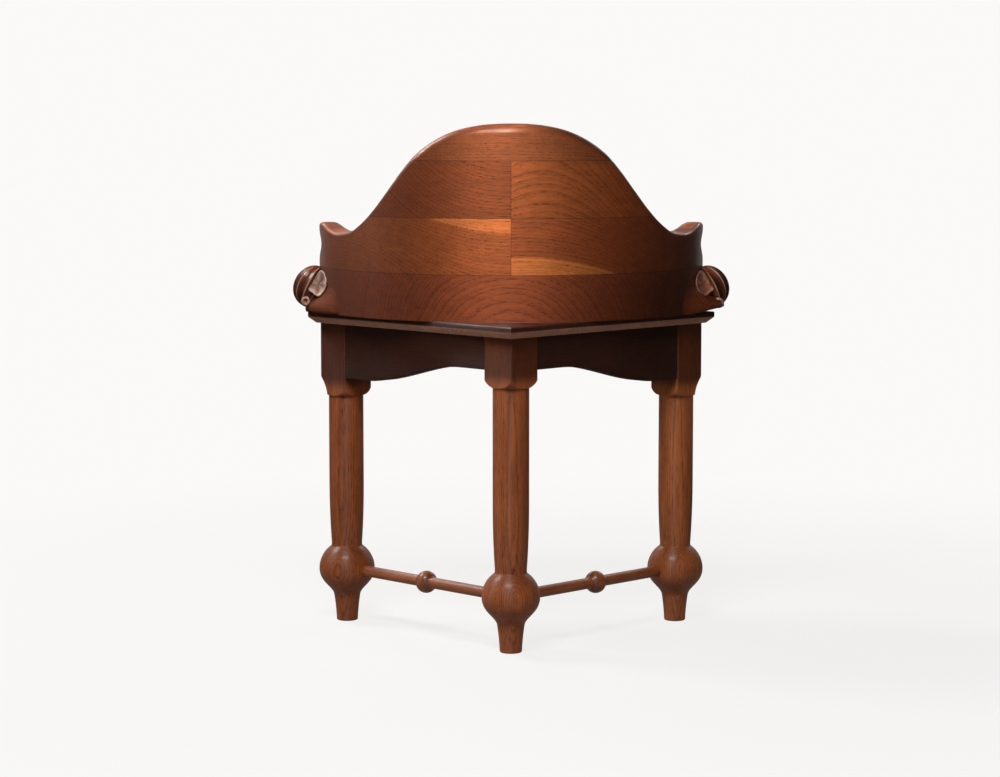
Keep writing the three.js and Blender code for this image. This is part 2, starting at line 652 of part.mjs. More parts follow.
// The whole back. With grow it stands larger all over, to cut what is fitted to it.
function backWall(grow) {
  const stretch = 1 + grow / (BACK_RADIUS * ARM_ANGLE);
  const rings = [];
  for (let i = 0; i <= BACK_STEPS; i += 1) {
    rings.push(wallSection(THREE.MathUtils.lerp(-stretch, stretch, i / BACK_STEPS), grow));
  }
  const count = rings[0].length;
  const positions = rings.flat().flatMap((point) => [point.x, point.y, point.z]);
  const faces = [];
  for (let ring = 0; ring < BACK_STEPS; ring += 1) {
    for (let i = 0; i < count; i += 1) {
      const a = ring * count + i;
      const b = ring * count + ((i + 1) % count);
      faces.push(a, b, b + count, a, b + count, a + count);
    }
  }
  const last = BACK_STEPS * count;
  for (let i = 0; i < count / 2 - 1; i += 1) {
    const j = count - 1 - i;
    faces.push(i, j - 1, i + 1, i, j, j - 1);
    faces.push(last + i, last + i + 1, last + j - 1, last + i, last + j - 1, last + j);
  }
  const geometry = new THREE.BufferGeometry();
  geometry.setAttribute("position", new THREE.Float32BufferAttribute(positions, 3));
  geometry.setIndex(faces);
  return toSolid(geometry);
}

// The part of the back between two heights, on one side of the centre line or on both.
function backLayer(wall, bottom, top, side) {
  const low = [side > 0 ? 0 : -SLAB_REACH, -SLAB_REACH, bottom];
  const high = [side < 0 ? 0 : SLAB_REACH, SLAB_REACH, top];
  return wall.intersect(boxSolid(low, high));
}

// Dowels of the back
const UP = new THREE.Vector3(0, 0, 1);
const ACROSS = new THREE.Vector3(1, 0, 0);

function wallMiddle(share, side, height) {
  const radius = (BACK_RADIUS + innerRadius(height)) / 2;
  return wallPoint(radius, share * side, height);
}

function rowDowels(word, shares, height, radius, down, up) {
  return SIDES.flatMap((place) =>
    shares.map((share, index) =>
      dowel(`${word}_${place.word}_${index + 1}`, wallMiddle(share, place.side, height), UP,
        radius, down, up),
    ),
  );
}

function buttDowels(word, bottom, rowHeight) {
  return BUTT_DOWEL_HEIGHT_SHARES.map((share, index) =>
    dowel(`${word}_${index + 1}`, wallMiddle(0, 1, bottom - SEAT_TOP + rowHeight * share), ACROSS,
      BUTT_DOWEL_RADIUS, BUTT_DOWEL_DEPTH, BUTT_DOWEL_DEPTH),
  );
}

// Scrolls
function scrollDowel(place) {
  const share = place.side * SCROLL_DOWEL_ANGLE_SHARE;
  const mouth = wallPoint(BACK_RADIUS, share, SCROLL_CENTRE_RISE);
  const axis = wallPoint(0, share, SCROLL_CENTRE_RISE);
  const inward = axis.sub(mouth).normalize();
  return dowel(`scroll_dowel_${place.word}`, mouth, inward, SCROLL_DOWEL_RADIUS,
    SCROLL_DOWEL_DEPTH, SCROLL_DOWEL_DEPTH);
}

// The left scroll's foot swells out of the arm's outer face, fullest at the seat, and its nose
// is round in plan.
function flareSolid() {
  const rings = [];
  for (let i = 0; i <= FLARE_STEPS; i += 1) {
    const share = THREE.MathUtils.lerp(FLARE_START_SHARE, 1, i / FLARE_STEPS);
    const swell = THREE.MathUtils.smoothstep(share, FLARE_START_SHARE, FLARE_FULL_SHARE);
    const nose = Math.max(share - FLARE_FULL_SHARE, 0) / (1 - FLARE_FULL_SHARE);
    const reach = FLARE_REACH * swell * Math.sqrt(1 - nose ** 2);
    const ring = [wallPoint(BACK_RADIUS - FLARE_ROOT, share, JOINT_GAP)];
    for (let level = 0; level <= FLARE_LEVELS; level += 1) {
      const height = THREE.MathUtils.lerp(JOINT_GAP, FLARE_HEIGHT, level / FLARE_LEVELS);
      const fall = THREE.MathUtils.smoothstep(height, FLARE_FULL_HEIGHT, FLARE_HEIGHT);
      ring.push(wallPoint(BACK_RADIUS + reach * (1 - fall), share, height));
    }
    ring.push(wallPoint(BACK_RADIUS - FLARE_ROOT, share, FLARE_HEIGHT));
    rings.push(ring);
  }
  return loftSolid(rings);
}

function scrollSolid(side, grownWall) {
  const bud = new THREE.SphereGeometry(1, SCROLL_REEDS * REED_FACETS, SCROLL_RINGS);
  const points = bud.attributes.position;
  for (let i = 0; i < points.count; i += 1) {
    const x = points.getX(i);
    const y = points.getY(i);
    const z = points.getZ(i);
    const reed = Math.abs(Math.cos((Math.atan2(z, x) * SCROLL_REEDS) / 2));
    const girth = SCROLL_BULGE - REED_DEPTH * (1 - reed);
    points.setXYZ(i, x * girth, y * SCROLL_HALF_HEIGHT, z * girth);
  }
  bud.rotateX(Math.PI / 2);
  bud.rotateY(-SCROLL_TILT);
  const eye = new THREE.SphereGeometry(EYE_RADIUS, EYE_FACETS, SCROLL_RINGS);
  eye.translate(-EYE_OFFSET_X, EYE_OFFSET_BACK, EYE_OFFSET_RISE);
  const ball = new THREE.SphereGeometry(SCROLL_BALL_RADIUS, SCROLL_BALL_FACETS, SCROLL_BALL_FACETS / 2);
  ball.translate(SCROLL_BALL_OFFSET_X, SCROLL_BALL_OFFSET_BACK, -SCROLL_BALL_DROP);
  const carved = cut(toSolid(bud), toSolid(eye)).add(toSolid(ball));
  const centre = wallPoint(BACK_RADIUS + SCROLL_PROUD, SCROLL_ANGLE_SHARE, SCROLL_CENTRE_RISE);
  const left = carved.translate([centre.x, centre.y, centre.z]).add(flareSolid());
  return cut(side > 0 ? left : left.mirror([1, 0, 0]), grownWall);
}

// Corner braces: a four-sided block between two rails, and the screw up through it into the seat
function braceParts(word, centre, first, second) {
  const corners = [...first, ...second].map(([a, b]) =>
    centre.origin.clone().addScaledVector(centre.first, a).addScaledVector(centre.second, b));
  const middle = corners.reduce((sum, point) => sum.add(point), new THREE.Vector2());
  middle.divideScalar(corners.length);
  const plan = new THREE.Shape(corners);
  const block = new THREE.ExtrudeGeometry(plan, { depth: BRACE_THICKNESS, bevelEnabled: false });
  const bottom = SEAT_UNDERSIDE - BRACE_THICKNESS;
  block.translate(0, 0, bottom);
  const screwOutline = [
    [0, -SCREW_HEAD_HEIGHT],
    [SCREW_HEAD_RADIUS, -SCREW_HEAD_HEIGHT],
    [SCREW_HEAD_RADIUS, 0],
    [SCREW_RADIUS, 0],
    [SCREW_RADIUS, SCREW_LENGTH],
    [0, SCREW_LENGTH],
  ];
  const screw = turnedSolid(screwOutline, SCREW_FACETS).translate([middle.x, middle.y, bottom]);
  const hole = barSolid(
    new THREE.Vector3(middle.x, middle.y, bottom - CUT_OVERRUN),
    new THREE.Vector3(middle.x, middle.y, bottom + SCREW_LENGTH + JOINT_GAP),
    SCREW_RADIUS + JOINT_GAP,
    SCREW_FACETS,
  );
  return { word, block: cut(toSolid(block), hole), screw, hole };
}

function backBrace() {
  const face = -RAIL_INNER + JOINT_GAP;
  const far = BRACE_REACH;
  const near = BRACE_REACH - BRACE_WIDTH;
  return braceParts(
    "back",
    { origin: new THREE.Vector2(0, 0), first: alongSide(1), second: alongSide(-1) },
    [[far, face], [near, face]],
    [[face, near], [face, far]],
  );
}

function frontBrace(place) {
  const face = -RAIL_INNER + JOINT_GAP;
  const far = BRACE_REACH;
  const near = BRACE_REACH - BRACE_WIDTH;
  const ringFace = (reach) =>
    LEG_SPACING - Math.sqrt((LEG_SPACING + RAIL_INNER) ** 2 - reach ** 2) + JOINT_GAP;
  return braceParts(
    `front_${place.word}`,
    {
      origin: frontLeg(place.side),
      first: alongSide(place.side).negate(),
      second: outOfSide(place.side).negate(),
    },
    [[far, face], [near, face]],
    [[ringFace(near), near], [ringFace(far), far]],
  );
}

// Assembly
const stool = new THREE.Group();
const frame = new THREE.Group();
frame.position.y = BACK_LEG_Y;
stool.add(frame);
const addPiece = (name, solid, material) => frame.add(makeMesh(name, solid, material));

const braces = [backBrace(), ...SIDES.map(frontBrace)];
const seatDowels = rowDowels("seat_dowel", SEAT_DOWEL_ANGLE_SHARES, 0, SEAT_DOWEL_RADIUS,
  SEAT_DOWEL_DEPTH, ROW_DOWEL_DEPTH);
const lowerDowels = rowDowels("lower_dowel", LOWER_DOWEL_ANGLE_SHARES, BASE_TOP - SEAT_TOP,
  ROW_DOWEL_RADIUS, ROW_DOWEL_DEPTH, ROW_DOWEL_DEPTH);
const upperDowels = rowDowels("upper_dowel", UPPER_DOWEL_ANGLE_SHARES, LOWER_TOP - SEAT_TOP,
  ROW_DOWEL_RADIUS, ROW_DOWEL_DEPTH, ROW_DOWEL_DEPTH);
const crestDowels = rowDowels("crest_dowel", CREST_DOWEL_ANGLE_SHARES, UPPER_TOP - SEAT_TOP,
  ROW_DOWEL_RADIUS, ROW_DOWEL_DEPTH, ROW_DOWEL_DEPTH);
const lowerButts = buttDowels("lower_butt_dowel", BASE_TOP, LOWER_ROW_HEIGHT);
const upperButts = buttDowels("upper_butt_dowel", LOWER_TOP, UPPER_ROW_HEIGHT);
const scrollDowels = SIDES.map(scrollDowel);
const boresOf = (...groups) => groups.flat().map((item) => item.bore);

const socket = (from, to) => barSolid(from, to, STRETCHER_RADIUS + JOINT_GAP, STRETCHER_FACETS);

function addLegs() {
  const axes = SIDES.map((place) => stretcherAxis(place.side));
  const backTools = SIDES.flatMap((place, index) => [
    onSide(sideRailBackTenon(JOINT_GAP), place.side),
    socket(axes[index].from, axes[index].inBack),
  ]);
  addPiece("back_leg", legSolid(new THREE.Vector2(0, 0), BACK_BLOCK_BOTTOM, BACK_SHOULDER_HEIGHT,
    backTools), legWood);
  SIDES.forEach((place, index) => {
    const tools = [
      onSide(sideRailFrontTenon(JOINT_GAP), place.side),
      frontTenonBox(place.side, JOINT_GAP),
      socket(axes[index].to, axes[index].inFront),
      cornerCove(place.side),
    ];
    const leg = legSolid(frontLeg(place.side), FRONT_BLOCK_BOTTOM, FRONT_SHOULDER_HEIGHT, tools);
    addPiece(`front_leg_${place.word}`, leg, legWood);
  });
}

function addFrameRails() {
  SIDES.forEach((place) => {
    addPiece(`side_rail_${place.word}`, sideRailSolid(place.side), railWood);
    addPiece(`stretcher_${place.word}`, stretcherSolid(place.side), legWood);
  });
  addPiece("front_rail", frontRailSolid(), railWood);
  braces.forEach((brace) => {
    addPiece(`brace_${brace.word}`, brace.block, plainWood);
    addPiece(`seat_screw_${brace.word}`, brace.screw, screwSteel);
  });
}

function addSeat() {
  const joints = Array.from({ length: SEAT_BOARD_COUNT - 1 }, (_, index) => index + 1);
  const grooves = joints.map((index) => seatTongue(index, JOINT_GAP));
  const holes = braces.map((brace) => brace.hole);
  const blank = cut(seatBlank(), ...grooves, ...holes, ...boresOf(seatDowels));
  for (let index = 0; index < SEAT_BOARD_COUNT; index += 1) {
    const back = index === 0 ? SLAB_REACH : seatJointY(index);
    const front = index === SEAT_BOARD_COUNT - 1 ? -SLAB_REACH : seatJointY(index + 1);
    const slab = boxSolid([-SLAB_REACH, front, 0], [SLAB_REACH, back, SLAB_REACH]);
    addPiece(`seat_board_${index + 1}`, blank.intersect(slab), seatWood);
  }
  joints.forEach((index) => addPiece(`seat_tongue_${index}`, seatTongue(index, 0), plainWood));
}

function addBack() {
  const wall = backWall(0);
  const base = backLayer(wall, SEAT_TOP, BASE_TOP, 0);
  addPiece("base_rail", cut(base, ...boresOf(seatDowels, lowerDowels, scrollDowels)), baseWood);
  SIDES.forEach((place) => {
    const lower = backLayer(wall, BASE_TOP, LOWER_TOP, place.side);
    const upper = backLayer(wall, LOWER_TOP, UPPER_TOP, place.side);
    addPiece(`lower_back_${place.word}`, cut(lower, ...boresOf(lowerDowels, upperDowels, lowerButts)),
      lowerWood);
    addPiece(`upper_back_${place.word}`, cut(upper, ...boresOf(upperDowels, crestDowels, upperButts)),
      upperWood);
  });
  const crest = backLayer(wall, UPPER_TOP, CREST_TOP + CUT_OVERRUN, 0);
  addPiece("crest", cut(crest, ...boresOf(crestDowels)), crestWood);
  [seatDowels, lowerDowels, upperDowels, crestDowels, lowerButts, upperButts, scrollDowels]
    .flat()
    .forEach((item) => addPiece(item.name, item.pin, plainWood));
}

function addScrolls() {
  const grownWall = backWall(JOINT_GAP);
  SIDES.forEach((place, index) => {
    const scroll = cut(scrollSolid(place.side, grownWall), scrollDowels[index].bore);
    addPiece(`scroll_${place.word}`, scroll, baseWood);
  });
}

addLegs();
addFrameRails();
addSeat();
addBack();
addScrolls();

export default stool;
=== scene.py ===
"""The looks of a three-legged wooden stool with a wrap-round laminated back.

Metres, +Z up. The sitter faces -Y, so the back of the stool is towards +Y, where the camera
stands, and the sitter's left is +X.
"""

import logging
import math
from dataclasses import dataclass, field
from enum import Enum

import bmesh
import bpy
import numpy as np
from mathutils import Euler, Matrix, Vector


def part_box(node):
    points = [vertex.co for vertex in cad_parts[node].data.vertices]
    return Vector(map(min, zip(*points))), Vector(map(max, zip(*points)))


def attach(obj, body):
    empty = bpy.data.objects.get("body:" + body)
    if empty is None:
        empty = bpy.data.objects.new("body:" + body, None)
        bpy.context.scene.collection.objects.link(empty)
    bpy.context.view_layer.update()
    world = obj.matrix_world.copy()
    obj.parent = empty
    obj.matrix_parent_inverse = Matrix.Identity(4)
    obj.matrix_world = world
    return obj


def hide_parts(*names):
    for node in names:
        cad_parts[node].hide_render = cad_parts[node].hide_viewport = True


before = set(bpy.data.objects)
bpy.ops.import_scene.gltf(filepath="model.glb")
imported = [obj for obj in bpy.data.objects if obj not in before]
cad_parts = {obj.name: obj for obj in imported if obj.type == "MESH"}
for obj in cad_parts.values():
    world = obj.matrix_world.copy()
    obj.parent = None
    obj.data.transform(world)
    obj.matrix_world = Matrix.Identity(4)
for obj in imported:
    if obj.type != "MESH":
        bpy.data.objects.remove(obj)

LOG = logging.getLogger("stool")
MM = 0.001
BODY = "root"
# mesh attribute of a carving's painted light: shade below 0, highlights above
CARVING_LIGHT = "carving"
WELD_DISTANCE = 1e-6
CREASE = math.radians(38)  # edges that turn by more stay crisp
BEYOND = 9.0  # farther than any part of the stool
UP = np.array([0.0, 0.0, 1.0])
Socket = bpy.types.NodeSocket


class Grain(Enum):
    """Which way a piece's grain runs, as the turn that lays the X axis along it."""

    ACROSS = (0.0, 0.0, 0.0)
    UPRIGHT = (0.0, -90.0, 0.0)
    SIDE_LEFT = (0.0, 0.0, -45.0)
    SIDE_RIGHT = (0.0, 0.0, 45.0)


class Side(Enum):
    """A side of the stool as the sitter has it, with the sign of its X."""

    LEFT = 1
    RIGHT = -1

    @property
    def word(self) -> str:
        """The side's name as node names have it."""
        return self.name.lower()

    @property
    def grain(self) -> Grain:
        """The grain of a piece that runs from the back leg to this side's front leg."""
        return Grain[f"SIDE_{self.name}"]


def node_corner(node: str, highest: bool) -> np.ndarray:
    """The highest or the lowest corner of a node's box."""
    return np.array(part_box(node)[1 if highest else 0])


def node_centre(node: str) -> np.ndarray:
    """The middle of a node's box."""
    return (node_corner(node, False) + node_corner(node, True)) / 2


def node_top(node: str) -> float:
    """Height of a node's highest point."""
    return float(node_corner(node, True)[2])


# Places that the frame gives
BACK_LEG = node_centre("back_leg") * (1, 1, 0)
SEAT_UNDERSIDE = node_top("back_leg")
SEAT_TOP = node_top("seat_board_1")
BASE_TOP = node_top("base_rail")
LOWER_TOP = node_top("lower_back_left")
UPPER_TOP = node_top("upper_back_left")
CREST_TOP = node_top("crest")
LEG_SPACING = float(np.linalg.norm((node_centre("front_leg_left") - BACK_LEG)[:2]))


def rail_axes(side: Side) -> tuple[np.ndarray, np.ndarray]:
    """The level directions along a side's rail, from the back leg, and out of the frame."""
    x, y, _ = (node_centre(f"front_leg_{side.word}") - BACK_LEG) / LEG_SPACING
    return np.array([x, y, 0.0]), np.array([-y, x, 0.0]) * side.value


# Colours and nodes
def linear(hex_colour: str) -> tuple[float, float, float, float]:
    """Turns an sRGB colour to a linear one.

    Args:
        hex_colour: The colour as #rrggbb.

    Returns:
        Linear red, green and blue, and an alpha of one.
    """
    shares = [int(hex_colour[i:i + 2], 16) / 255 for i in (1, 3, 5)]
    red, green, blue = (
        share / 12.92 if share <= 0.04045 else ((share + 0.055) / 1.055) ** 2.4
        for share in shares
    )
    return (red, green, blue, 1.0)


def add_node(
    tree: bpy.types.NodeTree, kind: str, inputs: dict | None = None, **settings: object
) -> bpy.types.Node:
    """Adds a node with its settings and links.

    Args:
        tree: The node tree to add to.
        kind: The node's type, without the word ShaderNode.
        inputs: Socket name or number against a value, a socket that feeds it, or a node that
            feeds it by its first output.
        settings: Properties of the node.

    Returns:
        The new node.
    """
    node = tree.nodes.new(f"ShaderNode{kind}")
    for name, value in settings.items():
        setattr(node, name, value)
    for name, value in (inputs or {}).items():
        if isinstance(value, bpy.types.Node):
            value = value.outputs[0]
        if isinstance(value, bpy.types.NodeSocket):
            tree.links.new(value, node.inputs[name])
        else:
            node.inputs[name].default_value = value
    return node


def new_material(name: str) -> tuple[bpy.types.Material, bpy.types.NodeTree]:
    """Makes a material with an empty node tree.

    Args:
        name: The material's name.

    Returns:
        The material and its tree.
    """
    material = bpy.data.materials.new(name)
    material.use_nodes = True
    material.node_tree.nodes.clear()
    return material, material.node_tree


# Finishes
@dataclass(frozen=True)
class VarnishedOak:
    """Open-pored hardwood, sawn to a board, stained red-brown and varnished to a satin.

    The year rings are round shells about a pith line beside the board, so a flat face shows
    cathedral arches, a quartered one straight lines, and a turned ball rings within rings.
    Dark pores lie in the first part of each ring, as short dashes along the grain. Beyond
    sap_start from the pith the wood is pale sapwood. The fibres under the varnish give a
    wood-coloured glow, narrow along the grain and wide across it. Where the surface cuts
    across the fibres, their open ends drink the dye and turn dark. Painted shade darkens the
    colour above a given height and in a carving's flutes and dimple, and painted highlights and
    reflection pale its edges and leaf. Glue lines are drawn wider than the real ones, or they wouldn't
    show.
    """

    name: str
    slot: str
    heart: str
    sap: str = "#b8692f"
    grain: Grain = Grain.ACROSS
    pith: tuple[float, float, float] = (0.0, 0.0, 0.0)
    swing: tuple[float, float, float] = (0.0, 0.0, 0.0)
    ring: float = 2.9 * MM
    taper: float = 0.035
    wander: float = 9 * MM
    bends: tuple[float, float, float] = (3.0, 11.0, 11.0)  # per metre, along and across
    streaks: tuple[float, float, float] = (18.0, 130.0, 130.0)
    streak_tones: tuple[float, float] = (0.76, 1.2)
    tone_range: tuple[float, float] = (0.3, 0.7)  # where most of the noise lies
    line_strength: float = 0.22
    growth: tuple[tuple[float, float], ...] = ((0.12, 1.0), (0.3, 0.55), (0.6, 0.12))
    uneven_years: float = 1.6
    pore_strength: float = 0.8
    pore_range: tuple[float, float] = (0.5, 0.66)
    stray_pores: float = 0.25
    sap_start: float = BEYOND
    sap_edge: float = 2.5 * MM
    line_tint: str = "#6d4f40"
    pore_length: float = 9 * MM  # real pores are finer, but these have to show
    pore_width: float = 0.65 * MM
    pore_depth: float = 0.1 * MM
    relief: float = 0.25
    roughness: float = 0.5
    roughness_spread: tuple[float, float] = (-0.05, 0.06)
    fibre_glow: float = 0.0
    fibre_spread: float = 0.75
    across_fibres: tuple[float, float, float] = (0.0, 0.05, 1.0)
    # painted shade: above this height, over this fade, the colour darkens by this tint
    stain_above: float = BEYOND
    stain_fade: float = 18 * MM
    stain_tint: str = "#8f8580"
    carved: bool = False
    # painted shade in a carving's flutes, and the tint of its painted highlights and reflection
    flute_painted_shade: float = 0.3
    highlight_tint: str = "#bfa899"
    end_shade: float = 0.55
    end_range: tuple[float, float] = (0.15, 0.9)
    glue_heights: tuple[float, ...] = ()
    glue_width: float = 0.8 * MM
    glue_shade: float = 0.5
    butted: bool = False
    coat: float = 0.3
    coat_roughness: float = 0.2
    varnish_ior: float = 1.45

    def material(self) -> bpy.types.Material:
        """Builds the node tree: bent ring shells, pores, sapwood, then varnish over all.

        Returns:
            The finished material.
        """
        material, tree = new_material(self.name)
        turn = [math.radians(a + b) for a, b in zip(self.grain.value, self.swing)]
        place = add_node(tree, "TexCoord").outputs["Object"]
        board = add_node(tree, "Mapping", {
            "Vector": place, "Location": self.pith, "Rotation": turn,
        }, vector_type="TEXTURE")
        waves = add_node(tree, "VectorMath", {0: board, 1: self.bends}, operation="MULTIPLY")
        bend = add_node(tree, "TexNoise", {"Vector": waves, "Scale": 1.0, "Roughness": 0.45})
        bent = add_node(tree, "VectorMath", {
            0: bend.outputs["Color"], 1: (self.wander,) * 3, 2: board,
        }, operation="MULTIPLY_ADD")
        shell = add_node(tree, "VectorMath", {0: bent, 1: (self.taper, 1.0, 1.0)}, operation="MULTIPLY")
        radius = add_node(tree, "VectorMath", {0: shell}, operation="LENGTH").outputs["Value"]
        band = self.early_wood(tree, radius)
        pores = self.open_pores(tree, board, band)
        drawn = add_node(tree, "VectorMath", {0: bent, 1: self.streaks}, operation="MULTIPLY")
        tone = add_node(tree, "TexNoise", {
            "Vector": drawn, "Scale": 1.0, "Detail": 3.0, "Roughness": 0.6,
        })

        pale = add_node(tree, "MapRange", {0: radius, 1: self.sap_start, 2: self.sap_start + self.sap_edge})
        colour = add_node(tree, "Mix", {
            0: pale, 6: linear(self.heart), 7: linear(self.sap),
        }, data_type="RGBA").outputs[2]
        for mark, strength in ((band, self.line_strength), (pores, self.pore_strength)):
            share = add_node(tree, "Math", {0: mark, 1: strength}, operation="MULTIPLY")
            colour = add_node(tree, "Mix", {
                0: share, 6: colour, 7: linear(self.line_tint),
            }, data_type="RGBA", blend_type="MULTIPLY").outputs[2]
        # painted shade above a height, for a shadow that falls on that part
        if self.stain_above < CREST_TOP:
            colour = self.paint_shade_above(tree, place, colour)
        light = add_node(tree, "MapRange", dict(enumerate((tone, *self.tone_range, *self.streak_tones))))
        shade = add_node(tree, "Math", {0: light, 1: self.end_grain(tree, turn)}, operation="MULTIPLY")
        colour = add_node(tree, "VectorMath", {
            0: colour, "Scale": self.glue_lines(tree, place, shade),
        }, operation="SCALE").outputs[0]
        # painted shade and highlights of a carving
        if self.carved:
            colour = self.paint_carving_light(tree, colour)

        relief = add_node(tree, "Bump", {
            "Height": pores, "Strength": self.relief, "Distance": self.pore_depth,
        }, invert=True)
        changes = (self.roughness + change for change in self.roughness_spread)
        gloss = add_node(tree, "MapRange", dict(enumerate((tone, *self.tone_range, *changes))))
        across = add_node(tree, "CombineXYZ", dict(enumerate(self.across_fibres)))
        shader = add_node(tree, "BsdfPrincipled", {
            "Base Color": colour, "Roughness": gloss, "Normal": relief,
            "Metallic": self.fibre_glow, "Anisotropic": self.fibre_spread,
            "Tangent": across, "IOR": self.varnish_ior, "Coat Weight": self.coat,
            "Coat Roughness": self.coat_roughness,
        })
        add_node(tree, "OutputMaterial", {"Surface": shader})
        return material

    def early_wood(self, tree: bpy.types.NodeTree, radius: Socket) -> Socket:
        """How far a place is in the first growth of its year.

        Args:
            tree: The material's node tree.
            radius: The place's distance from the pith.

        Returns:
            1 in the early wood, falling to 0 at the end of the year.
        """
        count = add_node(tree, "Math", {0: radius, 1: self.ring}, operation="DIVIDE")
        uneven = add_node(tree, "TexNoise", {
            "W": count, "Scale": 0.37, "Detail": 1.0,
        }, noise_dimensions="1D")
        years = add_node(tree, "Math", {
            0: uneven, 1: self.uneven_years, 2: count,
        }, operation="MULTIPLY_ADD")
        season = add_node(tree, "Math", {0: years}, operation="FRACT")
        early = add_node(tree, "ValToRGB", {"Fac": season})
        ramp = early.color_ramp
        ramp.elements[0].position, ramp.elements[0].color = 0.0, (0.1, 0.1, 0.1, 1)
        ramp.elements[1].position, ramp.elements[1].color = 1.0, (0.0, 0.0, 0.0, 1)
        for position, shade in self.growth:
            ramp.elements.new(position).color = (shade, shade, shade, 1)
        return early.outputs["Color"]

    def open_pores(self, tree: bpy.types.NodeTree, board: bpy.types.Node, band: Socket) -> Socket:
        """Dashes along the grain, some of them everywhere and the rest in the early wood.

        Args:
            tree: The material's node tree.
            board: Gives the place in the board, its X along the grain.
            band: How far the place is in the early wood.

        Returns:
            1 in a pore.
        """
        shares = (1 / self.pore_length, 1 / self.pore_width, 1 / self.pore_width)
        cells = add_node(tree, "VectorMath", {0: board, 1: shares}, operation="MULTIPLY")
        grit = add_node(tree, "TexNoise", {"Vector": cells, "Scale": 0.8, "Detail": 1.0})
        dashes = add_node(tree, "MapRange", dict(enumerate((grit, *self.pore_range))))
        crowding = add_node(tree, "Math", {
            0: band, 1: 1 - self.stray_pores, 2: self.stray_pores,
        }, operation="MULTIPLY_ADD")
        return add_node(tree, "Math", {0: dashes, 1: crowding}, operation="MULTIPLY").outputs[0]

    def paint_shade_above(self, tree: bpy.types.NodeTree, place: Socket, colour: Socket) -> Socket:
        """Paints shade into a colour above a height, for a shadow that falls there.

        Args:
            tree: The material's node tree.
            place: The place in the stool.
            colour: The colour so far.

        Returns:
            The new colour.
        """
        height = add_node(tree, "SeparateXYZ", {0: place}).outputs["Z"]
        deep = add_node(tree, "MapRange", {
            0: height, 1: self.stain_above, 2: self.stain_above + self.stain_fade,
        }, interpolation_type="SMOOTHSTEP")
        return add_node(tree, "Mix", {
            0: deep, 6: colour, 7: linear(self.stain_tint),
        }, data_type="RGBA", blend_type="MULTIPLY").outputs[2]

    def end_grain(self, tree: bpy.types.NodeTree, turn: list[float]) -> Socket:
        """Shade of the end grain.

        Args:
            tree: The material's node tree.
            turn: The turn that lays the X axis along the grain.

        Returns:
            A factor: 1 along the fibres, falling to end_shade on pure end grain.
        """
        fibre = Vector((1, 0, 0))
        fibre.rotate(Euler(turn))
        normal = add_node(tree, "NewGeometry").outputs["Normal"]
        along = add_node(tree, "VectorMath", {0: normal, 1: tuple(fibre)}, operation="DOT_PRODUCT")
        across = add_node(tree, "Math", {0: along.outputs["Value"]}, operation="ABSOLUTE")
        return add_node(tree, "MapRange", dict(enumerate(
            (across, *self.end_range, 1.0, self.end_shade),
        )), interpolation_type="SMOOTHSTEP").outputs[0]

    def glue_lines(self, tree: bpy.types.NodeTree, place: Socket, shade: bpy.types.Node) -> bpy.types.Node:
        """Darkens a shade along the board's glued edges.

        Args:
            tree: The material's node tree.
            place: The place in the stool.
            shade: Gives the shade so far.

        Returns:
            The node that gives the new shade.
        """
        parts = add_node(tree, "SeparateXYZ", {0: place}).outputs
        lines = [(parts["Z"], level) for level in self.glue_heights]
        for coordinate, level in lines + ([(parts["X"], 0.0)] if self.butted else []):
            line = add_node(tree, "Math", {
                0: coordinate, 1: level, 2: self.glue_width / 2,
            }, operation="COMPARE")
            kept = add_node(tree, "Math", {
                0: line, 1: -self.glue_shade, 2: 1.0,
            }, operation="MULTIPLY_ADD")
            shade = add_node(tree, "Math", {0: shade, 1: kept}, operation="MULTIPLY")
        return shade

    def paint_carving_light(self, tree: bpy.types.NodeTree, colour: Socket) -> Socket:
        """Paints shade and highlights onto a carving by its mesh attribute.

        Args:
            tree: The material's node tree.
            colour: The colour so far.

        Returns:
            The colour: painted shade below 0, deepest at -1 in a flute, plain at 0, painted highlight at 1.
        """
        tone = add_node(tree, "Attribute", attribute_name=CARVING_LIGHT).outputs["Fac"]
        depth = add_node(tree, "MapRange", {0: tone, 1: -1.0, 2: 0.0, 3: self.flute_painted_shade})
        sunk = add_node(tree, "VectorMath", {0: colour, "Scale": depth}, operation="SCALE")
        return add_node(tree, "Mix", {
            0: tone, 6: sunk, 7: linear(self.highlight_tint),
        }, data_type="RGBA").outputs[2]


@dataclass(frozen=True)
class BareBeech:
    """Unvarnished beech for dowels, tongues and braces: pale and dull, with darker flecks along Z."""

    name: str = "bare_beech"
    body: str = "#b98d5e"
    fleck: str = "#8f6238"
    fleck_length: float = 4 * MM
    fleck_width: float = 0.8 * MM
    fleck_range: tuple[float, float] = (0.5, 0.72)
    roughness: float = 0.7

    def material(self) -> bpy.types.Material:
        """Builds the node tree.

        Returns:
            The finished material.
        """
        material, tree = new_material(self.name)
        place = add_node(tree, "TexCoord").outputs["Object"]
        shares = (1 / self.fleck_width, 1 / self.fleck_width, 1 / self.fleck_length)
        cells = add_node(tree, "VectorMath", {0: place, 1: shares}, operation="MULTIPLY")
        noise = add_node(tree, "TexNoise", {"Vector": cells, "Scale": 1.0})
        share = add_node(tree, "MapRange", dict(enumerate((noise, *self.fleck_range))))
        colour = add_node(tree, "Mix", {
            0: share, 6: linear(self.body), 7: linear(self.fleck),
        }, data_type="RGBA").outputs[2]
        shader = add_node(tree, "BsdfPrincipled", {"Base Color": colour, "Roughness": self.roughness})
        add_node(tree, "OutputMaterial", {"Surface": shader})
        return material


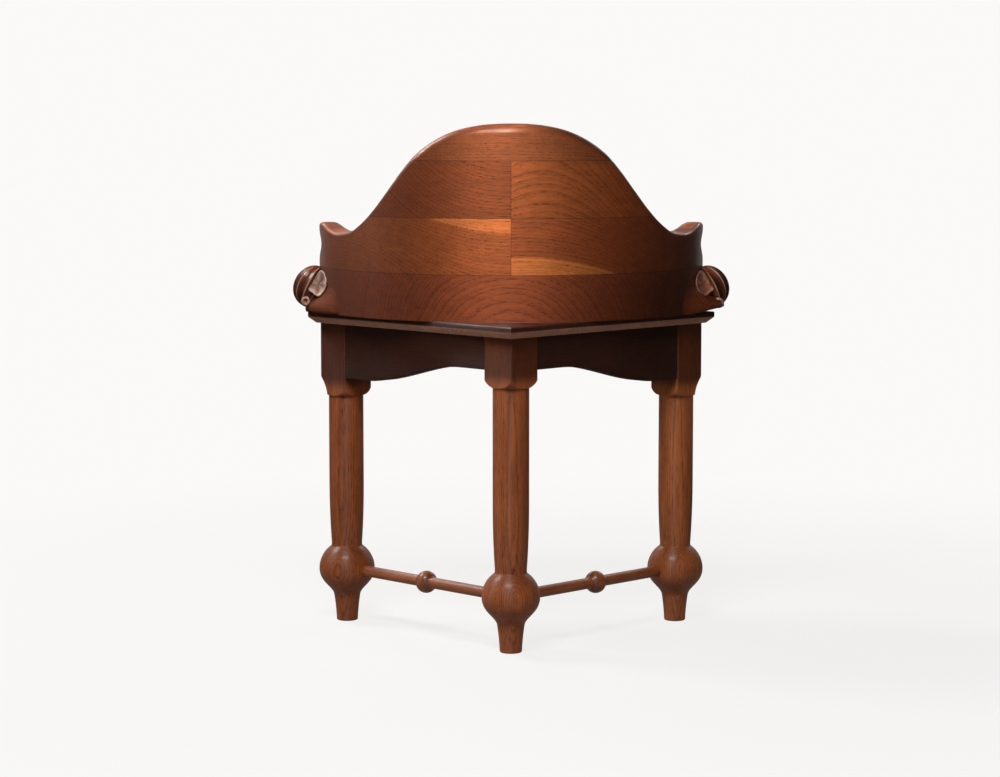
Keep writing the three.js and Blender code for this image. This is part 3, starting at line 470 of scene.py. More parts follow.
@dataclass(frozen=True)
class BrightSteel:
    """Bright drawn steel of the screws, its roughness varying in fine rings round the shank."""

    name: str = "bright_steel"
    body: str = "#8f8a80"
    marks: tuple[float, float, float] = (40.0, 40.0, 2000.0)  # per metre, a ring each half millimetre
    roughness: tuple[float, float] = (0.22, 0.45)

    def material(self) -> bpy.types.Material:
        """Builds the node tree.

        Returns:
            The finished material.
        """
        material, tree = new_material(self.name)
        place = add_node(tree, "TexCoord").outputs["Object"]
        cells = add_node(tree, "VectorMath", {0: place, 1: self.marks}, operation="MULTIPLY")
        noise = add_node(tree, "TexNoise", {"Vector": cells, "Scale": 1.0})
        rough = add_node(tree, "MapRange", dict(enumerate((noise, 0.0, 1.0, *self.roughness))))
        shader = add_node(tree, "BsdfPrincipled", {
            "Base Color": linear(self.body), "Metallic": 1.0, "Roughness": rough,
        })
        add_node(tree, "OutputMaterial", {"Surface": shader})
        return material


# Meshes from grids
@dataclass
class Surface:
    """A closed skin gathered from grids of points and flat caps."""

    points: list[np.ndarray] = field(default_factory=list)
    faces: list[list[int]] = field(default_factory=list)
    tones: list[np.ndarray] = field(default_factory=list)
    count: int = 0

    def add_grid(
        self, grid: np.ndarray, closed: bool = True, capped: bool = False, tone: np.ndarray | float = 0.0
    ) -> None:
        """Adds a grid of quads.

        Args:
            grid: Points as rows, columns and coordinates.
            closed: Whether the last column joins the first.
            capped: Whether the first and last rows are filled with a flat face.
            tone: The carving attribute of each point: painted shade below 0, painted highlight above.
        """
        rows, columns, _ = grid.shape
        across = columns if closed else columns - 1
        row, column = np.meshgrid(np.arange(rows - 1), np.arange(across), indexing="ij")
        after = (column + 1) % columns
        corners = (row * columns + column, row * columns + after,
                   (row + 1) * columns + after, (row + 1) * columns + column)
        quads = np.stack(corners, axis=-1).reshape(-1, 4) + self.count
        self.faces.extend(quads.tolist())
        if capped:
            first = self.count + np.arange(columns)
            self.faces.append(first[::-1].tolist())
            self.faces.append((first + (rows - 1) * columns).tolist())
        self.points.append(grid.reshape(-1, 3))
        self.tones.append(np.broadcast_to(tone, (rows, columns)).reshape(-1))
        self.count += rows * columns

    def build(self, node: str, word: str, wood: VarnishedOak) -> None:
        """Makes the piece: doubles merged, faces turned outwards and shading smoothed.

        Args:
            node: The node that it stands for.
            word: How it was worked, which ends its name.
            wood: Its finish.
        """
        name = f"{node}_{word}"
        mesh = bpy.data.meshes.new(name)
        mesh.from_pydata(np.concatenate(self.points), [], self.faces)
        if wood.carved:
            carving = mesh.attributes.new(CARVING_LIGHT, "FLOAT", "POINT")
            carving.data.foreach_set("value", np.concatenate(self.tones).astype(np.float32))
        work = bmesh.new()
        work.from_mesh(mesh)
        bmesh.ops.remove_doubles(work, verts=work.verts, dist=WELD_DISTANCE)
        bmesh.ops.recalc_face_normals(work, faces=work.faces)
        work.to_mesh(mesh)
        work.free()
        mesh.shade_smooth()
        mesh.set_sharp_from_angle(angle=CREASE)
        mesh.materials.append(wood.material())
        piece = bpy.data.objects.new(name, mesh)
        bpy.context.scene.collection.objects.link(piece)
        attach(piece, BODY)
        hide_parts(node)
        LOG.info("%s: %d faces", name, len(mesh.polygons))


def build_grid(grid: np.ndarray, node: str, word: str, wood: VarnishedOak, capped: bool = False) -> None:
    """Makes a piece whose skin is one grid."""
    skin = Surface()
    skin.add_grid(grid, capped=capped)
    skin.build(node, word, wood)


def bezier(start: tuple, lead: tuple, trail: tuple, end: tuple, count: int) -> np.ndarray:
    """Points of a cubic curve, without its first one.

    Args:
        start: First point.
        lead: Handle after the first point.
        trail: Handle before the last point.
        end: Last point.
        count: How many points.

    Returns:
        The points, one row each: (1-t)^3, 3t(1-t)^2, 3t^2(1-t) and t^3 shares of the four.
    """
    t = np.linspace(0, 1, count + 1)[1:, None]
    a, b, c, d = (np.array(point) for point in (start, lead, trail, end))
    return (1 - t) ** 3 * a + 3 * t * (1 - t) ** 2 * b + 3 * t * t * (1 - t) * c + t ** 3 * d


def smoothstep(value: np.ndarray) -> np.ndarray:
    """The S curve 3v^2 - 2v^3 of a value held between 0 and 1."""
    share = np.clip(value, 0, 1)
    return share * share * (3 - 2 * share)


def circle(count: int) -> np.ndarray:
    """Even angles round a circle."""
    return np.linspace(0, 2 * math.pi, count, endpoint=False)


def unit(vector: np.ndarray) -> np.ndarray:
    """A vector's direction."""
    return vector / np.linalg.norm(vector)


def turned(radius: np.ndarray, height: np.ndarray, facets: int) -> np.ndarray:
    """Points of a form standing on the Z axis: r cos a, r sin a and the height.

    Args:
        radius: Radius of each ring, or of each of its points.
        height: Height of each ring, as a column.
        facets: Points round each ring.

    Returns:
        Points as rows, columns and coordinates.
    """
    angle = circle(facets)
    parts = np.broadcast_arrays(radius * np.cos(angle), radius * np.sin(angle), height)
    return np.stack(parts, axis=-1)


def ring_section(width: float, low: np.ndarray, high: float, ease: float, steps: int = 5) -> np.ndarray:
    """A rectangle with eased corners at each station of a rail.

    Args:
        width: Across the rail.
        low: Height of the lower edge at each station.
        high: Height of the upper edge.
        ease: Radius of the corners.
        steps: Points to a corner.

    Returns:
        Out-of-centre and height of each point, as stations, points and two coordinates.
    """
    quarter = np.linspace(0, math.pi / 2, steps)
    corners = ((1, -1, -math.pi / 2), (1, 1, 0), (-1, 1, math.pi / 2), (-1, -1, math.pi))
    out, share, rise = [], [], []
    for across, up, start in corners:
        out.append(across * (width / 2 - ease) + ease * np.cos(start + quarter))
        share.append(np.full(steps, (up + 1) / 2))
        rise.append(-up * ease + ease * np.sin(start + quarter))
    out, share, rise = (np.concatenate(part) for part in (out, share, rise))
    level = low[:, None] * (1 - share) + high * share + rise
    return np.stack([np.broadcast_to(out, level.shape), level], axis=-1)


@dataclass(frozen=True)
class LegCut:
    """What differs between the legs.

    Attributes:
        node: The leg's node.
        cove_side: 1 or -1 for the side that its hollow is on, and 0 for none.
        block: Height of the square block.
        shoulder: Height of the rounded shoulder below it.
        fullness: 1 for a quarter round shoulder, and less for a straighter one.
        heart: Colour of its heartwood.
        pith: X and Y of the tree's middle from the leg's axis.
        lean: How far the grain leans, in degrees.
    """

    node: str
    cove_side: int
    block: float
    shoulder: float
    fullness: float
    heart: str
    pith: tuple[float, float]
    lean: float


@dataclass
class Legs:
    """Three turned legs: square block, tapered shaft, ball and small foot."""

    cuts: tuple[LegCut, ...] = (
        LegCut("back_leg", 0, 52 * MM, 13 * MM, 0.62, "#98522b", (-12 * MM, 46 * MM), 1.2),
        LegCut("front_leg_left", 1, 79 * MM, 18 * MM, 1.0, "#8c4a24", (14 * MM, 52 * MM), -1.5),
        LegCut("front_leg_right", -1, 79 * MM, 18 * MM, 1.0, "#9e582e", (-9 * MM, 40 * MM), 0.8),
    )
    block_side: float = 49 * MM
    arris: float = 1.2 * MM
    shaft: float = 23.2 * MM
    shaft_full: float = 190 * MM
    neck: float = 20.5 * MM
    neck_height: float = 107 * MM
    ball: float = 37.4 * MM
    ball_height: float = 71 * MM
    ball_step: float = 1 * MM
    ankle: float = 17.6 * MM
    ankle_height: float = 35 * MM
    foot: float = 14.3 * MM
    foot_edge: float = 1.2 * MM
    cove: float = 52 * MM
    cove_depth: float = 1.2 * MM
    cove_drop: float = 23 * MM
    # painted shade reaches this far below the block, for the seat's shadow
    stain_drop: float = 12 * MM
    facets: int = 240

    def outline(self, cut: LegCut) -> np.ndarray:
        """Radius and height of each ring, from the foot's middle up to the top of the block.

        Each double curve has handles that are shares of its width and rise. The block's
        rings have the radius of its corners.

        Args:
            cut: The leg.

        Returns:
            Rings as radius and height.
        """
        def curve(start: tuple, end: tuple, shares: tuple, count: int = 24) -> np.ndarray:
            """A double curve from one place to the next.

            Args:
                start: Radius and height where it starts.
                end: Radius and height where it ends.
                shares: Each handle's width and rise, as shares of the whole.
                count: How many points.

            Returns:
                The points.
            """
            width, rise = end[0] - start[0], end[1] - start[1]
            lead = (start[0] + width * shares[0], start[1] + rise * shares[1])
            trail = (end[0] - width * shares[2], end[1] - rise * shares[3])
            return bezier(start, lead, trail, end, count)

        foot = (self.foot, self.foot_edge)
        ankle = (self.ankle, self.ankle_height)
        belly = (self.ball, self.ball_height)
        neck = (self.neck, self.neck_height)
        full = (self.shaft, self.shaft_full)
        block_low = SEAT_UNDERSIDE - cut.block
        corner = self.block_side / math.sqrt(2)
        crown = math.acos((self.neck + self.ball_step) / self.ball)
        arc = np.linspace(0, crown, 24)[1:, None]
        ball = np.hstack([self.ball * np.cos(arc), self.ball_height + self.ball * np.sin(arc)])
        hollow = (self.neck, ball[-1][1] + 1 * MM)
        round_up = np.linspace(0, math.pi / 2, 20)[:, None]
        ovolo = np.hstack([
            self.shaft + (corner - self.shaft) * np.sin(round_up) ** (2 - cut.fullness),
            block_low - cut.shoulder * np.cos(round_up) ** (2 - cut.fullness),
        ])
        shaft_rise = np.linspace(self.shaft_full, block_low - cut.shoulder, 60)[1:-1, None]
        block_rise = np.linspace(block_low, SEAT_UNDERSIDE, 30)[1:, None]
        return np.vstack([
            [[0, 0], [self.foot - self.foot_edge, 0], foot],
            curve(foot, ankle, (0.13, 0.37, 0.41, 0.26)),
            curve(ankle, belly, (0.09, 0.31, 0.0, 0.54)),
            ball,
            bezier(tuple(ball[-1]), hollow, hollow, neck, 6),
            curve(neck, full, (0.37, 0.18, 0.0, 0.5)),
            np.hstack([np.full_like(shaft_rise, self.shaft), shaft_rise]),
            ovolo,
            np.hstack([np.full_like(block_rise, corner), block_rise]),
            [[0, SEAT_UNDERSIDE]],
        ])

    def grid(self, cut: LegCut) -> np.ndarray:
        """The leg's points about its own axis, as rows, columns and coordinates.

        Above the shoulder the radius is the lesser of the turned outline and the square,
        half the side over the greater of |cos| and |sin| of the angle from a face. A front
        leg's outer corner is hollowed by a level cylinder: its radius is at most the
        cylinder's face over the cosine of the angle from +X or -X.

        Args:
            cut: The leg.

        Returns:
            The points.
        """
        outline = self.outline(cut)
        angle = circle(self.facets)
        from_face = angle - math.pi / 4
        square = self.block_side / 2 / np.maximum(np.abs(np.cos(from_face)), np.abs(np.sin(from_face)))
        square = np.minimum(square, self.block_side / math.sqrt(2) - self.arris)
        radius, height = np.repeat(outline[:, :1], self.facets, axis=1), outline[:, 1:]
        in_block = height >= SEAT_UNDERSIDE - cut.block - cut.shoulder
        radius = np.where(in_block, np.minimum(radius, square), radius)
        if cut.cove_side:
            middle = SEAT_UNDERSIDE - cut.block - self.cove_drop
            reach = np.clip(self.cove ** 2 - (height - middle) ** 2, 0, None)
            face = self.shaft + self.cove_depth + self.cove - np.sqrt(reach)
            outward = np.cos(angle) * cut.cove_side
            limit = np.where(outward > 0.2, face / np.maximum(outward, 0.2), np.inf)
            radius = np.where(reach > 0, np.minimum(radius, limit), radius)
        return turned(radius, height, self.facets)

    def build(self) -> None:
        """Builds and dresses the three legs, each with its own grain."""
        for index, cut in enumerate(self.cuts, 1):
            x, y, _ = node_centre(cut.node)
            wood = VarnishedOak(
                f"leg_oak_{index}", "leg_wood", cut.heart, grain=Grain.UPRIGHT,
                pith=(x + cut.pith[0], y + cut.pith[1], 0.0), swing=(0.0, cut.lean, 0.0),
                ring=2.8 * MM, wander=6 * MM, end_shade=0.7, line_strength=0.34, coat=0.12,
                # painted shade darkens the block and upper shoulder, for the seat's shadow
                varnish_ior=1.38, stain_above=SEAT_UNDERSIDE - cut.block - self.stain_drop,
            )
            build_grid(self.grid(cut) + np.array([x, y, 0.0]), cut.node, "turned", wood)


@dataclass
class FrameRails:
    """Side rails, curved front rail and knobbed stretchers between the legs."""

    legs: Legs
    thickness: float = 22 * MM
    setback: float = 1 * MM
    back_depth: float = 42.5 * MM
    front_depth: float = 72.5 * MM
    side_curve: tuple[float, float] = (0.223, 0.796)
    middle_depth: float = 44 * MM
    front_curve: tuple[float, float] = (0.567, 0.19)
    ease: float = 1.6 * MM
    stations: int = 160
    rod: float = 7.3 * MM
    socket: float = 20 * MM
    knob: float = 14.6 * MM
    knob_half: float = 12.5 * MM
    fillet: float = 4 * MM
    even_rod: float = 60 * MM
    facets: int = 64
    side_pith: tuple[float, float] = (60 * MM, 280 * MM)  # out of the frame and above the floor
    front_pith: tuple[float, float, float] = (0.0, -0.42, 0.62)
    rod_pith: float = 30 * MM
    # the aprons' brown darkened with painted shade for the seat's overhang
    rail_heart: str = "#351a10"
    rod_heart: str = "#8c4a22"

    @property
    def centre_out(self) -> float:
        """From the frame's centre line to the middle of a rail."""
        return self.legs.block_side / 2 - self.setback - self.thickness / 2

    def build_rail(
        self, node: str, word: str, grid: np.ndarray, grain: Grain, pith: tuple, swing: tuple
    ) -> None:
        """Makes a rail in a dull finish, its very dark colour holding painted shade for the seat's
        overhang.

        Args:
            node: The rail's node.
            word: What its finish is named after.
            grid: Its points.
            grain: Which way its grain runs.
            pith: Where the tree's middle lies.
            swing: A further turn of the grain, in degrees.
        """
        wood = VarnishedOak(
            f"rail_oak_{word}", "rail_wood", self.rail_heart, grain=grain, pith=pith, swing=swing,
            roughness=0.65, coat=0.05, varnish_ior=1.32,
        )
        build_grid(grid, node, "curved", wood, capped=True)

    def side_rail(self, side: Side) -> None:
        """Builds a side rail, whose lower edge falls in a double curve from back to front.

        Args:
            side: Which side of the stool it is on.
        """
        along, out = rail_axes(side)
        to_block = self.legs.block_side / 2
        reach = np.linspace(to_block, LEG_SPACING - to_block, self.stations)
        start, end = (share * LEG_SPACING for share in self.side_curve)
        fall = smoothstep((reach - start) / (end - start))
        low = SEAT_UNDERSIDE - self.back_depth - (self.front_depth - self.back_depth) * fall
        section = ring_section(self.thickness, low, SEAT_UNDERSIDE, self.ease)
        middle = BACK_LEG + out * self.centre_out
        grid = middle + reach[:, None, None] * along + section @ np.stack([out, UP])
        pith = tuple(middle + out * self.side_pith[0] + UP * self.side_pith[1])
        self.build_rail(f"side_rail_{side.word}", side.word, grid, side.grain, pith, (0, 0.8, 0.6))

    def front_rail(self) -> None:
        """Builds the front rail, part of a ring about the back leg, arched below."""
        radius = LEG_SPACING + self.centre_out
        half = math.pi / 4 - math.asin(self.legs.block_side / 2 / radius)
        angle = np.linspace(-half, half, self.stations)
        reach = np.abs(radius * np.sin(angle))
        start, end = (share * LEG_SPACING for share in self.front_curve)
        rise = smoothstep((start - reach) / (start - end))
        low = SEAT_UNDERSIDE - self.front_depth + (self.front_depth - self.middle_depth) * rise
        section = ring_section(self.thickness, low, SEAT_UNDERSIDE, self.ease)
        radial = np.stack([np.sin(angle), -np.cos(angle), 0 * angle], axis=-1)[:, None]
        grid = BACK_LEG + (radius + section[..., :1]) * radial + section[..., 1:] * UP
        self.build_rail("front_rail", "front", grid, Grain.ACROSS, self.front_pith, (0, 1, 0))

    def rod_outline(self) -> np.ndarray:
        """The stretcher's outline: a thin rod that swells to a knob at mid-length.

        Returns:
            Radius and place along the rod of each ring.
        """
        half = LEG_SPACING / 2 - self.legs.ball + self.socket
        top = (self.knob, 0.0)
        side = (self.rod + self.fillet / 2, self.knob_half - self.fillet / 2)
        meet = (self.rod, self.knob_half)
        swell = np.vstack([
            [top],
            bezier(top, (self.knob, self.fillet / 2), (self.knob, self.knob_half / 2), side, 14),
            bezier(side, meet, meet, (self.rod, self.knob_half + 1.5 * self.fillet), 8),
            [(self.rod, self.even_rod), (self.rod, half), (0.0, half)],
        ])
        return np.vstack([swell[:0:-1] * (1, -1), swell])

    def stretcher(self, side: Side) -> None:
        """Builds one stretcher between the balls of two legs.

        Args:
            side: Which side of the stool it is on.
        """
        along, out = rail_axes(side)
        outline = self.rod_outline()
        local = turned(outline[:, :1], outline[:, 1:], self.facets)
        middle = BACK_LEG + along * LEG_SPACING / 2 + UP * self.legs.ball_height
        wood = VarnishedOak(
            f"stretcher_oak_{side.word}", "leg_wood", self.rod_heart, grain=side.grain,
            pith=tuple(middle + out * self.rod_pith), ring=3 * MM, wander=4 * MM,
        )
        build_grid(middle + local @ np.stack([out, UP, along]), f"stretcher_{side.word}", "turned", wood)

    def build(self) -> None:
        """Builds the rails and stretchers."""
        for side in Side:
            self.side_rail(side)
            self.stretcher(side)
        self.front_rail()


@dataclass
class Seat:
    """Four boards glued edge to edge, square-edged above and chamfered below."""

    overhang: float = 37.5 * MM
    chamfer_height: float = 8 * MM
    chamfer_depth: float = 8.5 * MM
    knee: float = 0.4 * MM
    ease: float = 1.2 * MM
    ease_steps: int = 4
    rows: int = 60
    # pale pinkish: left bare only on the chamfer, where it is partly a painted reflection of the bright
    # floor
    heart: str = "#b07c66"
    # painted shade darkens the top and square edge above the chamfer, for the back's shadow
    stain: str = "#6c4c40"
    stain_fade: float = 1.5 * MM
    pith_places: tuple[tuple[float, float], ...] = (
        (14 * MM, 70 * MM), (-22 * MM, 95 * MM), (9 * MM, 60 * MM), (-16 * MM, 85 * MM),
    )  # behind each board's middle and below its top
    swings: tuple[float, ...] = (0.9, -0.7, 0.6, -1.1)

    def half_width(self, y: np.ndarray, inset: float) -> np.ndarray:
        """Half the seat's width, straight towards the back and round in front.

        Args:
            y: How far behind the back leg.
            inset: How far the edge is drawn in.

        Returns:
            The half width.
        """
        edge = self.overhang - inset
        on_sides = edge * math.sqrt(2) - y
        on_front = np.sqrt(np.clip((LEG_SPACING + edge) ** 2 - y ** 2, 0, None))
        return np.maximum(np.minimum(on_sides, on_front), 0)

    def edge_profile(self) -> np.ndarray:
        """The edge from the top's rim down to the underside's.

        Returns:
            Inset and height of each point.
        """
        turn = np.linspace(0, math.pi / 2, self.ease_steps + 1)
        rim = np.stack([self.ease * (1 - np.sin(turn)), SEAT_TOP - self.ease * (1 - np.cos(turn))], -1)
        bend = SEAT_UNDERSIDE + self.chamfer_height
        return np.vstack([rim, [[0, bend + self.knee], [self.knee, bend - self.knee],
                                [self.chamfer_depth, SEAT_UNDERSIDE]]])

    def board(self, index: int) -> Surface:
        """One board's skin: round its plan at each level of the edge, with flat faces.

        Args:
            index: Counted from the back, from 0.

        Returns:
            The skin.
        """
        vertex = self.overhang * math.sqrt(2)
        tip = -(LEG_SPACING + self.overhang)
        count = len(self.pith_places)
        back, front = (vertex + (tip - vertex) * edge / count for edge in (index, index + 1))
        share = (1 - np.cos(np.linspace(0, math.pi, self.rows))) / 2
        rings = []
        for inset, height in self.edge_profile():
            first = min(back, (self.overhang - inset) * math.sqrt(2))
            last = max(front, -(LEG_SPACING + self.overhang - inset))
            y = first + (last - first) * share
            left = np.stack([self.half_width(y, inset), y, 0 * y + height], -1)
            rings.append(np.vstack([left, (left * (-1, 1, 1))[::-1]]))
        grid = np.stack(rings) + BACK_LEG
        skin = Surface()
        skin.add_grid(grid)
        for ring in (grid[0], grid[-1]):
            half = len(ring) // 2
            skin.add_grid(np.stack([ring[:half], ring[half:][::-1]]), closed=False)
        return skin

    def build(self) -> None:
        """Builds and dresses the four boards."""
        for index, (behind, below) in enumerate(self.pith_places):
            node = f"seat_board_{index + 1}"
            wood = VarnishedOak(
                f"seat_oak_{index + 1}", "seat_wood", self.heart, coat=0.1,
                pith=(0.0, node_centre(node)[1] + behind, SEAT_TOP - below),
                # painted shade above the chamfer
                swing=(0.0, 0.5, self.swings[index]), stain_tint=self.stain,
                stain_above=SEAT_UNDERSIDE + self.chamfer_height, stain_fade=self.stain_fade,
            )
            self.board(index).build(node, "planed", wood)


@dataclass(frozen=True)
class Board:
    """One board of the back.

    Attributes:
        node: Its node.
        row: Its row, counted from the seat.
        stations: Its ends, as shares of the arm's angle.
        slot: The record's material slot.
        heart: Colour of its heartwood.
        pith: Where the tree's middle lies, from the back's face and the joint below the board.
        swing: How far its grain turns about Z, in degrees.
        sap_start: How far from the tree's middle its sapwood starts.
    """

    node: str
    row: int
    stations: tuple[int, int]
    slot: str
    heart: str
    pith: tuple[float, float, float]
    swing: float = 0.0
    sap_start: float = BEYOND


@dataclass
class Back:
    """The round wall of the back and arms: four rows of boards on a round plan, with carved tops."""

    boards: tuple[Board, ...] = (
        Board("base_rail", 0, (-1, 1), "base_wood", "#8c4420", (-0.01, 0.179, -0.024)),
        Board("lower_back_left", 1, (0, 1), "lower_back_wood", "#954c21",
              (0.0, -0.121, -0.0775), 0.0, 0.1825),
        Board("lower_back_right", 1, (-1, 0), "lower_back_wood", "#8c451e",
              (-0.02, -0.141, 0.1678), 4.3, 0.1995),
        Board("upper_back_left", 2, (0, 1), "upper_back_wood", "#813f1b", (0.0, 0.179, 0.169)),
        Board("upper_back_right", 2, (-1, 0), "upper_back_wood", "#914a1f",
              (-0.041, -0.321, 0.139), 8.9, 0.3522),
        Board("crest", 3, (-1, 1), "crest_wood", "#8d4a23", (0.0, 0.039, -0.324)),
    )
    joints: tuple[float, ...] = (SEAT_TOP, BASE_TOP, LOWER_TOP, UPPER_TOP, CREST_TOP)
    radius: float = 0.844 * LEG_SPACING
    setback: float = 28 * MM
    wall: float = 36 * MM
    crest_wall: float = 28 * MM
    arm_angle: float = math.radians(77)
    dip: float = 111 * MM
    tip_rise: float = 8.5 * MM
    tip_shares: tuple[float, float] = (0.78, 1.0)
    waist_depth: float = 13 * MM
    waist: tuple[float, float] = (70 * MM, 112 * MM)
    crest_round: float = 13 * MM
    arm_round: float = 5 * MM
    slim_shares: tuple[float, float] = (0.4, 0.65)
    end_round: float = 6 * MM
    end_draw: float = 0.96
    scoop: float = 3.5 * MM
    scoop_shares: tuple[float, float] = (0.64, 0.97)
    scoop_across: tuple[float, float] = (0.25, 0.85)
    scoop_fade: float = 8 * MM
    fibre_glow: float = 0.75
    glow_roughness: float = 0.68
    glow_spread: float = 0.6
    varnish_ior: float = 1.55
    outer_glow: float = 0.87  # of the crest and base rail, which show a paler, narrower gleam
    outer_ior: float = 1.9
    stations: int = 360
    levels: int = 26
    top_line: tuple[tuple[float, float], ...] = (
        (0, 1), (0.13, 0.98), (0.22, 0.929), (0.31, 0.827), (0.37, 0.722), (0.43, 0.571),
        (0.49, 0.397), (0.55, 0.233), (0.61, 0.104), (0.71, 0),
    )

    @property
    def face(self) -> float:
        """Y of the outer face at the centre line."""
        return float(BACK_LEG[1]) - self.setback

    @property
    def centre_y(self) -> float:
        """Y of the round plan's centre."""
        return self.face - self.radius

    def at(self, radius: np.ndarray, angle: np.ndarray, height: np.ndarray) -> np.ndarray:
        """Places about the plan's centre: r sin a, r cos a, and the height above the seat.

        Args:
            radius: From the plan's centre.
            angle: From the centre line, towards the sitter's left.
            height: Above the seat.

        Returns:
            The places.
        """
        parts = np.broadcast_arrays(
            radius * np.sin(angle), self.centre_y + radius * np.cos(angle), SEAT_TOP + height,
        )
        return np.stack(parts, axis=-1)

    def rise(self, share: np.ndarray) -> np.ndarray:
        """The top line above its dip, as a share, at a share of the arm's angle.

        A cubic through the top line's points with slopes worked out from their neighbours.

        Args:
            share: Stations as shares of the arm's angle.

        Returns:
            0 at the dip and 1 at the crest.
        """
        x, y = np.array(self.top_line).T
        slope = np.gradient(y, x)
        slope[0] = slope[-1] = 0
        reach = np.clip(np.abs(share), 0, x[-1])
        k = np.clip(np.searchsorted(x, reach, side="right") - 1, 0, len(x) - 2)
        width = x[k + 1] - x[k]
        t = (reach - x[k]) / width
        return ((2 * t ** 3 - 3 * t ** 2 + 1) * y[k] + (t ** 3 - 2 * t ** 2 + t) * width * slope[k]
                + (3 * t ** 2 - 2 * t ** 3) * y[k + 1] + (t ** 3 - t ** 2) * width * slope[k + 1])

    def top(self, share: np.ndarray) -> np.ndarray:
        """Height of the top line above the seat.

        Args:
            share: Stations as shares of the arm's angle.

        Returns:
            The heights.
        """
        crest = CREST_TOP - SEAT_TOP - self.dip
        start, end = self.tip_shares
        tip = smoothstep((np.abs(share) - start) / (end - start))
        return self.dip + crest * self.rise(share) + self.tip_rise * tip

    def end_angle(self, height: np.ndarray | float) -> np.ndarray:
        """The angle where the arm ends, drawn back at its waist by a squared sine."""
        low, high = self.waist
        share = np.clip((height - low) / (high - low), 0, 1)
        return self.arm_angle - self.waist_depth / self.radius * np.sin(math.pi * share) ** 2

    def inner_radius(self, height: np.ndarray) -> np.ndarray:
        """Radius of the inner face, which leans out towards the crest."""
        return self.radius - self.wall + (self.wall - self.crest_wall) * height / (CREST_TOP - SEAT_TOP)

    def section(self, share: np.ndarray) -> tuple[np.ndarray, np.ndarray]:
        """The wall's section at each station, up the outer face, over the top and down inside.

        Args:
            share: Stations as shares of the arm's angle.

        Returns:
            Radius and height above the seat, as stations and points.
        """
        top = self.top(share)[:, None]
        up = np.linspace(0, 1, self.levels)
        turn = np.linspace(0, math.pi / 2, 12)
        start, end = self.slim_shares
        slim = smoothstep((np.abs(share)[:, None] - start) / (end - start))
        edge = self.crest_round + (self.arm_round - self.crest_round) * slim
        inner_edge = self.crest_round
        shoulder = top - edge
        rim = self.inner_radius(top)
        inner_height = (top - inner_edge) * up[::-1]
        radius = np.hstack([
            np.full((len(share), self.levels), self.radius),
            self.radius - edge * (1 - np.cos(turn)),
            rim + inner_edge * (1 - np.cos(turn[::-1])),
            self.inner_radius(inner_height),
        ])
        height = np.hstack([
            shoulder * up, shoulder + edge * np.sin(turn),
            top - inner_edge * (1 - np.sin(turn[::-1])), inner_height,
        ])
        across = np.clip((self.radius - radius) / (self.radius - rim), 0, 1)
        start, end = self.scoop_shares
        hollow = np.sin(math.pi * np.clip((np.abs(share)[:, None] - start) / (end - start), 0, 1)) ** 2
        near_top = smoothstep((height - shoulder + self.scoop_fade) / (edge + self.scoop_fade))
        start, end = self.scoop_across
        outside = 1 - smoothstep((across - start) / (end - start))
        height = height - self.scoop * hollow * outside * near_top
        return radius, height

    def cut_at_joint(self, radius: np.ndarray, height: np.ndarray, low: float) -> np.ndarray:
        """Draws the section's points below a joint in to where each face crosses it.

        Args:
            radius: Radius of each point, as stations and points.
            height: Height of each point.
            low: The joint's height.

        Returns:
            The new radii.
        """
        half = radius.shape[1] // 2
        radius = radius.copy()
        for face in (slice(0, half), slice(None, half - 1, -1)):
            out, up = radius[:, face], height[:, face]
            after = np.argmax(up >= low, axis=1)[:, None]
            before = np.maximum(after - 1, 0)
            start, end = (np.take_along_axis(up, index, 1) for index in (before, after))
            near, far = (np.take_along_axis(out, index, 1) for index in (before, after))
            share = np.clip((low - start) / np.maximum(end - start, 1e-9), 0, 1)
            radius[:, face] = np.where(up < low, near + share * (far - near), out)
        return radius

    def board_grid(self, board: Board) -> np.ndarray:
        """Points of the part of the wall between a board's joints and ends.

        The wall's section is held between the board's heights. Where the top line falls
        below the board, the board has run out. At the arm's end both faces draw in by a
        quarter circle.

        Args:
            board: The board.

        Returns:
            Stations, points round the section and coordinates.
        """
        low, high = (joint - SEAT_TOP for joint in self.joints[board.row:board.row + 2])
        share = np.linspace(*board.stations, self.stations)
        share = share[self.top(share) > low]
        radius, height = self.section(share)
        radius = self.cut_at_joint(radius, height, low)
        height = np.clip(height, low, high)
        to_end = (1 - np.abs(share[:, None])) * self.arm_angle * self.radius
        near = np.clip(1 - to_end / self.end_round, 0, 1)
        draw = self.end_round * (1 - np.sqrt(1 - near ** 2)) * self.end_draw
        middle = (self.radius + self.inner_radius(height)) / 2
        radius = radius - np.sign(radius - middle) * np.minimum(draw, np.abs(radius - middle))
        return self.at(radius, share[:, None] * self.end_angle(height), height)

    def build(self) -> None:
        """Builds the crest, the two middle rows in halves, and the base rail."""
        for board in self.boards:
            inner = 0 in board.stations
            ends = self.joints[board.row:board.row + 2]
            wood = VarnishedOak(
                f"{board.node}_oak", board.slot, board.heart,
                pith=(board.pith[0], self.face + board.pith[1], ends[0] + board.pith[2]),
                swing=(0, 0, board.swing), sap_start=board.sap_start,
                fibre_glow=self.fibre_glow if inner else self.outer_glow,
                roughness=self.glow_roughness, fibre_spread=self.glow_spread,
                glue_heights=tuple(joint for joint in ends if joint in self.joints[1:-1]),
                butted=inner, varnish_ior=self.varnish_ior if inner else self.outer_ior,
            )
            build_grid(self.board_grid(board), board.node, "shaped", wood, capped=True)


@dataclass(frozen=True)
class ScrollCut:
    """What differs between the two scrolls, which were carved by hand.

    Attributes:
        side: Which arm it sits on.
        reach: How far the foot flares out from the arm's face.
        undercut: How fast the foot's underside rises as it reaches out.
        ball: Radius of the small ball.
        ball_offset: The ball's place from the bud's centre, outwards, back and up.
        leaf_reflection: How strong the painted reflection on the leaf is.
    """

    side: Side
    reach: float
    undercut: float
    ball: float
    ball_offset: tuple[float, float, float]
    leaf_reflection: float


